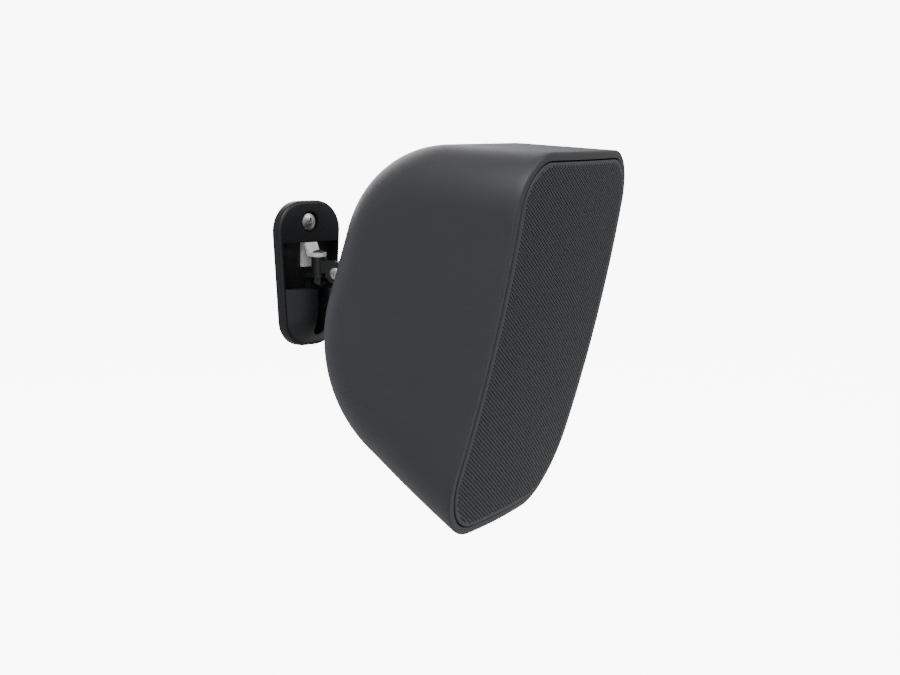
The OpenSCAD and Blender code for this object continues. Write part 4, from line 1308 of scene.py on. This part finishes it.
@dataclass(frozen=True)
class WallBase:
    """The moulded cover of the wall bracket, with its pocket, bulge, channel and bearing lug.

    Its outline is a tall shield with four rounded corners. The lower half bulges forward below
    a ledge, and a channel for the cable runs down its middle.
    """

    width: float = 56.0
    height: float = 96.0
    depth: float = 7.0
    bulge: float = 13.0
    top_r: float = 20.0
    foot_r: float = 18.0
    foot_share: float = 0.78
    edge_r: float = 2.2
    wall: float = 2.5
    cavity: float = 4.6
    ledge_z: float = -9.5
    pocket_top: float = 21.0
    channel_w: float = 9.0
    channel_foot: float = -36.0
    channel_floor: float = 6.4
    lock_z: float = 34.0
    lock_hole_r: float = 2.7
    counterbore_r: float = 7.0
    counterbore_floor: float = 4.0
    boss_r: float = 9.0
    boss_back: float = 2.3
    pan_d: float = 15.0
    lug_r: float = 5.0
    lug_low: float = -2.2
    lug_high: float = 0.2
    lug_hole_r: float = 3.1
    rib_half_w: float = 3.5
    rib_front: float = 10.2
    rib_low: float = 5.0
    rib_step: float = 0.4
    overlap: float = 0.2
    boss_step: float = 0.5
    bulge_fall: float = 3.5
    bulge_share: float = 0.2
    clear: float = 1.0
    far: float = 60.0
    corner_steps: int = 18
    edge_steps: int = 5
    field_steps: int = 36

    def outline(self, inset: float) -> Outline:
        """The shield's outline, moved inwards.

        Args:
            inset: how far inwards.

        Returns:
            Its points, anticlockwise from the right.
        """
        lean = math.degrees(math.atan((1 - self.foot_share) * self.width / 2 / self.height))
        top = self.width / 2
        foot = self.foot_share * top
        half_h = self.height / 2
        corners = (
            ((top, half_h), -lean, 90.0, self.top_r),
            ((-top, half_h), 90.0, 180 + lean, self.top_r),
            ((-foot, -half_h), 180 + lean, 270.0, self.foot_r),
            ((foot, -half_h), 270.0, 360 - lean, self.foot_r),
        )
        points = []
        for tip, a, b, r in corners:
            centre = corner_centre(tip, a, b, r)
            reach = r - inset
            for i in range(self.corner_steps + 1):
                t = math.radians(mix(a, b, i / self.corner_steps))
                points.append((centre.x + reach * math.cos(t), centre.y + reach * math.sin(t)))
        return points

    def relief(self, points: Sequence[Spot]) -> list[float]:
        """How far the bulge stands proud at each of some points.

        Args:
            points: x and z of each.

        Returns:
            The heights.
        """
        rim = sorted((z, x) for x, z in self.outline(self.edge_r) if x >= 0)
        half = np.interp([z for _, z in points], [z for z, _ in rim], [x for _, x in rim])
        fall = self.ledge_z + self.height / 2 - self.edge_r
        heights = []
        for (x, z), reach in zip(points, half):
            across = max(1 - (x / max(reach, FLAT_WELD)) ** 2, 0.0)
            down = min(max((self.ledge_z - z) / fall, 0.0), 1.0)
            heights.append(self.bulge * across * (1 - down ** self.bulge_fall))
        return heights

    def body(self, place: Matrix) -> bpy.types.Object:
        """Make the solid form before its hollows are cut.

        Args:
            place: the matrix from millimetres to metres.

        Returns:
            Its object.
        """
        draft = MeshDraft()
        rings = [[(x, 0.0, z) for x, z in self.outline(0.0)]]
        for gone, left in quarter_turn(self.edge_steps):
            y = -(self.depth - self.edge_r * left)
            rings.append([(x, y, z) for x, z in self.outline(self.edge_r * gone)])
        inner = self.outline(self.edge_r)
        middle_z = mix(self.ledge_z, -self.height / 2, self.bulge_share)
        for i in range(1, self.field_steps):
            share = 1 - i / self.field_steps
            spots = [(x * share, mix(middle_z, z, share)) for x, z in inner]
            rises = zip(spots, self.relief(spots))
            rings.append([(x, -self.depth - rise, z) for (x, z), rise in rises])
        for near, far in zip(rings, rings[1:]):
            draft.strip(near, far, closed=True)
        last = rings[-1]
        tip = (0.0, -self.depth - self.relief([(0.0, middle_z)])[0], middle_z)
        draft.fan([*last, last[0]], tip)
        draft.faces.append(tuple(draft.add(rings[0])))
        return draft.object("wall_base_cover", place)

    def build(self) -> bpy.types.Object:
        """Make the cover.

        Returns:
            Its object.
        """
        place = Matrix.Scale(MM, 4)
        cover = self.body(place)
        inner = self.outline(self.wall)
        above = rectangle(-self.width, self.ledge_z, self.width, self.height)
        cut(cover, prism("above_ledge", above, -self.depth, -self.far, place), Cut.REMOVE)
        cut(cover, prism("cavity", inner, self.clear, -self.cavity, place), Cut.REMOVE)
        pocket = prism("pocket", inner, self.clear, -self.far, place)
        band = rectangle(-self.width, self.ledge_z, self.width, self.pocket_top)
        block = prism("pocket_band", band, 2 * self.clear, -self.far - self.clear, place)
        cut(pocket, block, Cut.OVERLAP)
        cut(cover, pocket, Cut.REMOVE)
        half = self.channel_w / 2
        channel = [(half, self.ledge_z + self.clear), (-half, self.ledge_z + self.clear)]
        channel += half_circle(self.channel_foot, half, math.pi)
        boss = circle(0.0, self.lock_z, self.boss_r)
        bore = circle(0.0, self.lock_z, self.counterbore_r)
        hole = circle(0.0, self.lock_z, self.lock_hole_r)
        for name, outline, y0, y1, kind in (
            ("channel", channel, -self.channel_floor, -self.far, Cut.REMOVE),
            ("boss", boss, -self.boss_back, -self.depth + self.boss_step, Cut.JOIN),
            ("counterbore", bore, -self.counterbore_floor, -self.far, Cut.REMOVE),
            ("lock_hole", hole, self.clear, -self.far, Cut.REMOVE),
        ):
            cut(cover, prism(name, outline, y0, y1, place), kind)
        self.add_lug(cover, place @ Matrix.Rotation(math.radians(90), 4, "X"))
        shade_by_angle(cover)
        return cover

    def add_lug(self, cover: bpy.types.Object, upright: Matrix) -> None:
        """Join the lug under the pan bolt and the rib that carries it.

        Args:
            cover: the cover.
            upright: the matrix for blocks that stand along z, with distance from the wall as z.
        """
        back = self.cavity + self.overlap
        rib = rectangle(-self.rib_half_w, back, self.rib_half_w, self.rib_front)
        lug = half_circle(self.pan_d, self.lug_r, 0.0) + [(-self.lug_r, back), (self.lug_r, back)]
        hole = circle(0.0, self.pan_d, self.lug_hole_r)
        for name, outline, z0, z1, kind in (
            ("rib", rib, self.ledge_z - self.rib_low, self.lug_high - self.rib_step, Cut.JOIN),
            ("lug", lug, self.lug_low, self.lug_high, Cut.JOIN),
            ("lug_hole", hole, self.lug_low - self.clear, self.lug_high + self.clear, Cut.REMOVE),
        ):
            cut(cover, prism(name, outline, z0, z1, upright), kind)


# Studio


@dataclass(frozen=True)
class PhotoCamera:
    """The camera at the photograph's place, from its outline and the bracket."""

    position: Point = (-0.6952, -0.8093, 0.0957)
    azimuth: float = 45.886
    elevation: float = 7.38
    focal_px: float = 1600.4
    centre_px: tuple[float, float] = (450.0, 335.0)
    frame_px: tuple[int, int] = (900, 675)
    sensor: float = 36.0

    def build(self) -> None:
        """Make the camera and set it as the scene's."""
        data = bpy.data.cameras.new("photo_camera")
        data.sensor_fit = "HORIZONTAL"
        data.sensor_width = self.sensor
        data.lens = self.sensor * self.focal_px / self.frame_px[0]
        data.shift_x = (self.frame_px[0] / 2 - self.centre_px[0]) / self.frame_px[0]
        data.shift_y = (self.centre_px[1] - self.frame_px[1] / 2) / self.frame_px[0]
        camera = bpy.data.objects.new("photo_camera", data)
        bpy.context.scene.collection.objects.link(camera)
        camera.location = self.position
        camera.rotation_euler = (math.radians(90 - self.elevation), 0.0, -math.radians(self.azimuth))
        bpy.context.scene.camera = camera


@dataclass(frozen=True)
class Softbox:
    """One square area light."""

    name: str
    place: Point
    size: float
    power: float

    def build(self, target: Point) -> None:
        """Hang the light and turn it to what it lights.

        Args:
            target: the point that it is aimed at.
        """
        data = bpy.data.lights.new(self.name, "AREA")
        data.energy = self.power
        data.size = self.size
        lamp = bpy.data.objects.new(self.name, data)
        bpy.context.scene.collection.objects.link(lamp)
        lamp.location = self.place
        way = Vector(target) - Vector(self.place)
        lamp.rotation_euler = way.to_track_quat("-Z", "Y").to_euler()


@dataclass(frozen=True)
class Studio:
    """Pale floor, even surround and soft lights.

    The camera sees the surround and the floor brighter than they light the loudspeaker, as in
    a cut-out product photograph.
    """

    floor_z: float = -0.42
    floor_size: float = 9.0
    surround: Colour = (0.97, 0.98, 1.0)
    strength: float = 0.62
    seen_strength: float = 9.0
    lights: tuple[Softbox, ...] = (
        Softbox("key_softbox", (-1.1, -0.8, 2.1), 1.2, 52.0),
        Softbox("back_softbox", (1.0, 1.7, 0.75), 1.4, 26.0),
        Softbox("front_softbox", (0.9, -1.9, 1.2), 1.3, 21.0),
        Softbox("fill_softbox", (-2.0, -1.6, 0.2), 1.4, 8.0),
    )
    target: Point = (0.03, -0.11, 0.0)

    def build(self, wardrobe: Wardrobe) -> None:
        """Make the floor, the surround and the lights.

        Args:
            wardrobe: where the floor's material comes from.
        """
        world = bpy.data.worlds.new("surround")
        world.use_nodes = True
        background = world.node_tree.nodes["Background"]
        background.inputs["Color"].default_value = (*self.surround, 1.0)
        self.seen(world.node_tree, background.inputs["Strength"], self.strength, self.seen_strength)
        bpy.context.scene.world = world
        half = self.floor_size / 2
        draft = MeshDraft()
        corners = [(x, y, self.floor_z) for x, y in rectangle(-half, -half, half, half)]
        draft.faces.append(tuple(draft.add(corners)))
        floor = draft.object("floor", Matrix.Identity(4))
        wardrobe.dress(floor, FLOOR_PAINT)
        tree = floor.data.materials[0].node_tree
        shader = tree.nodes["Principled BSDF"]
        shader.inputs["Emission Color"].default_value = (*self.surround, 1.0)
        self.seen(tree, shader.inputs["Emission Strength"], 0.0, self.seen_strength)
        for light in self.lights:
            light.build(self.target)

    @staticmethod
    def seen(tree: bpy.types.NodeTree, socket: bpy.types.NodeSocket, lit: float, seen: float) -> None:
        """Give a strength one value for the light that it casts and another for what the camera sees.

        Args:
            tree: the node tree.
            socket: the strength's socket.
            lit: the strength that lights the scene.
            seen: the strength that the camera sees.
        """
        path = tree.nodes.new("ShaderNodeLightPath")
        blend = tree.nodes.new("ShaderNodeMix")
        blend.data_type = "FLOAT"
        blend.inputs["A"].default_value = lit
        blend.inputs["B"].default_value = seen
        tree.links.new(path.outputs["Is Camera Ray"], blend.inputs["Factor"])
        tree.links.new(blend.outputs["Result"], socket)


def main() -> None:
    """Load the frame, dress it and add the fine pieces."""
    logging.basicConfig(level=logging.INFO, format="%(name)s: %(message)s")
    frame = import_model()
    PhotoCamera().build()
    wardrobe = Wardrobe()
    Studio().build(wardrobe)
    for name, node in frame["nodes"].items():
        shade_by_angle(node)
        wardrobe.dress(node, NODE_FINISHES[name])
    form = CabinetForm()
    place = Hanging(frame["joints"], form).matrix()
    shell = Housing(form).build(place)
    wardrobe.dress(shell, HOUSING_PLASTIC)
    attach(shell, "cabinet")
    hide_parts("housing")
    log.info("housing_skin: %d faces", len(shell.data.polygons))
    cover = WallBase().build()
    wardrobe.dress(cover, BRACKET_PLASTIC)
    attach(cover, "wall_bracket")
    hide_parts("wall_base")
    log.info("wall_base_cover: %d faces", len(cover.data.polygons))
    grille = PerforatedGrille(form).build(place)
    wardrobe.dress(grille, GRILLE_PAINT)
    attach(grille, "cabinet")
    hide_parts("grille")
    log.info("grille_perforated: %d faces", len(grille.data.polygons))


if __name__ == "__main__":
    main()
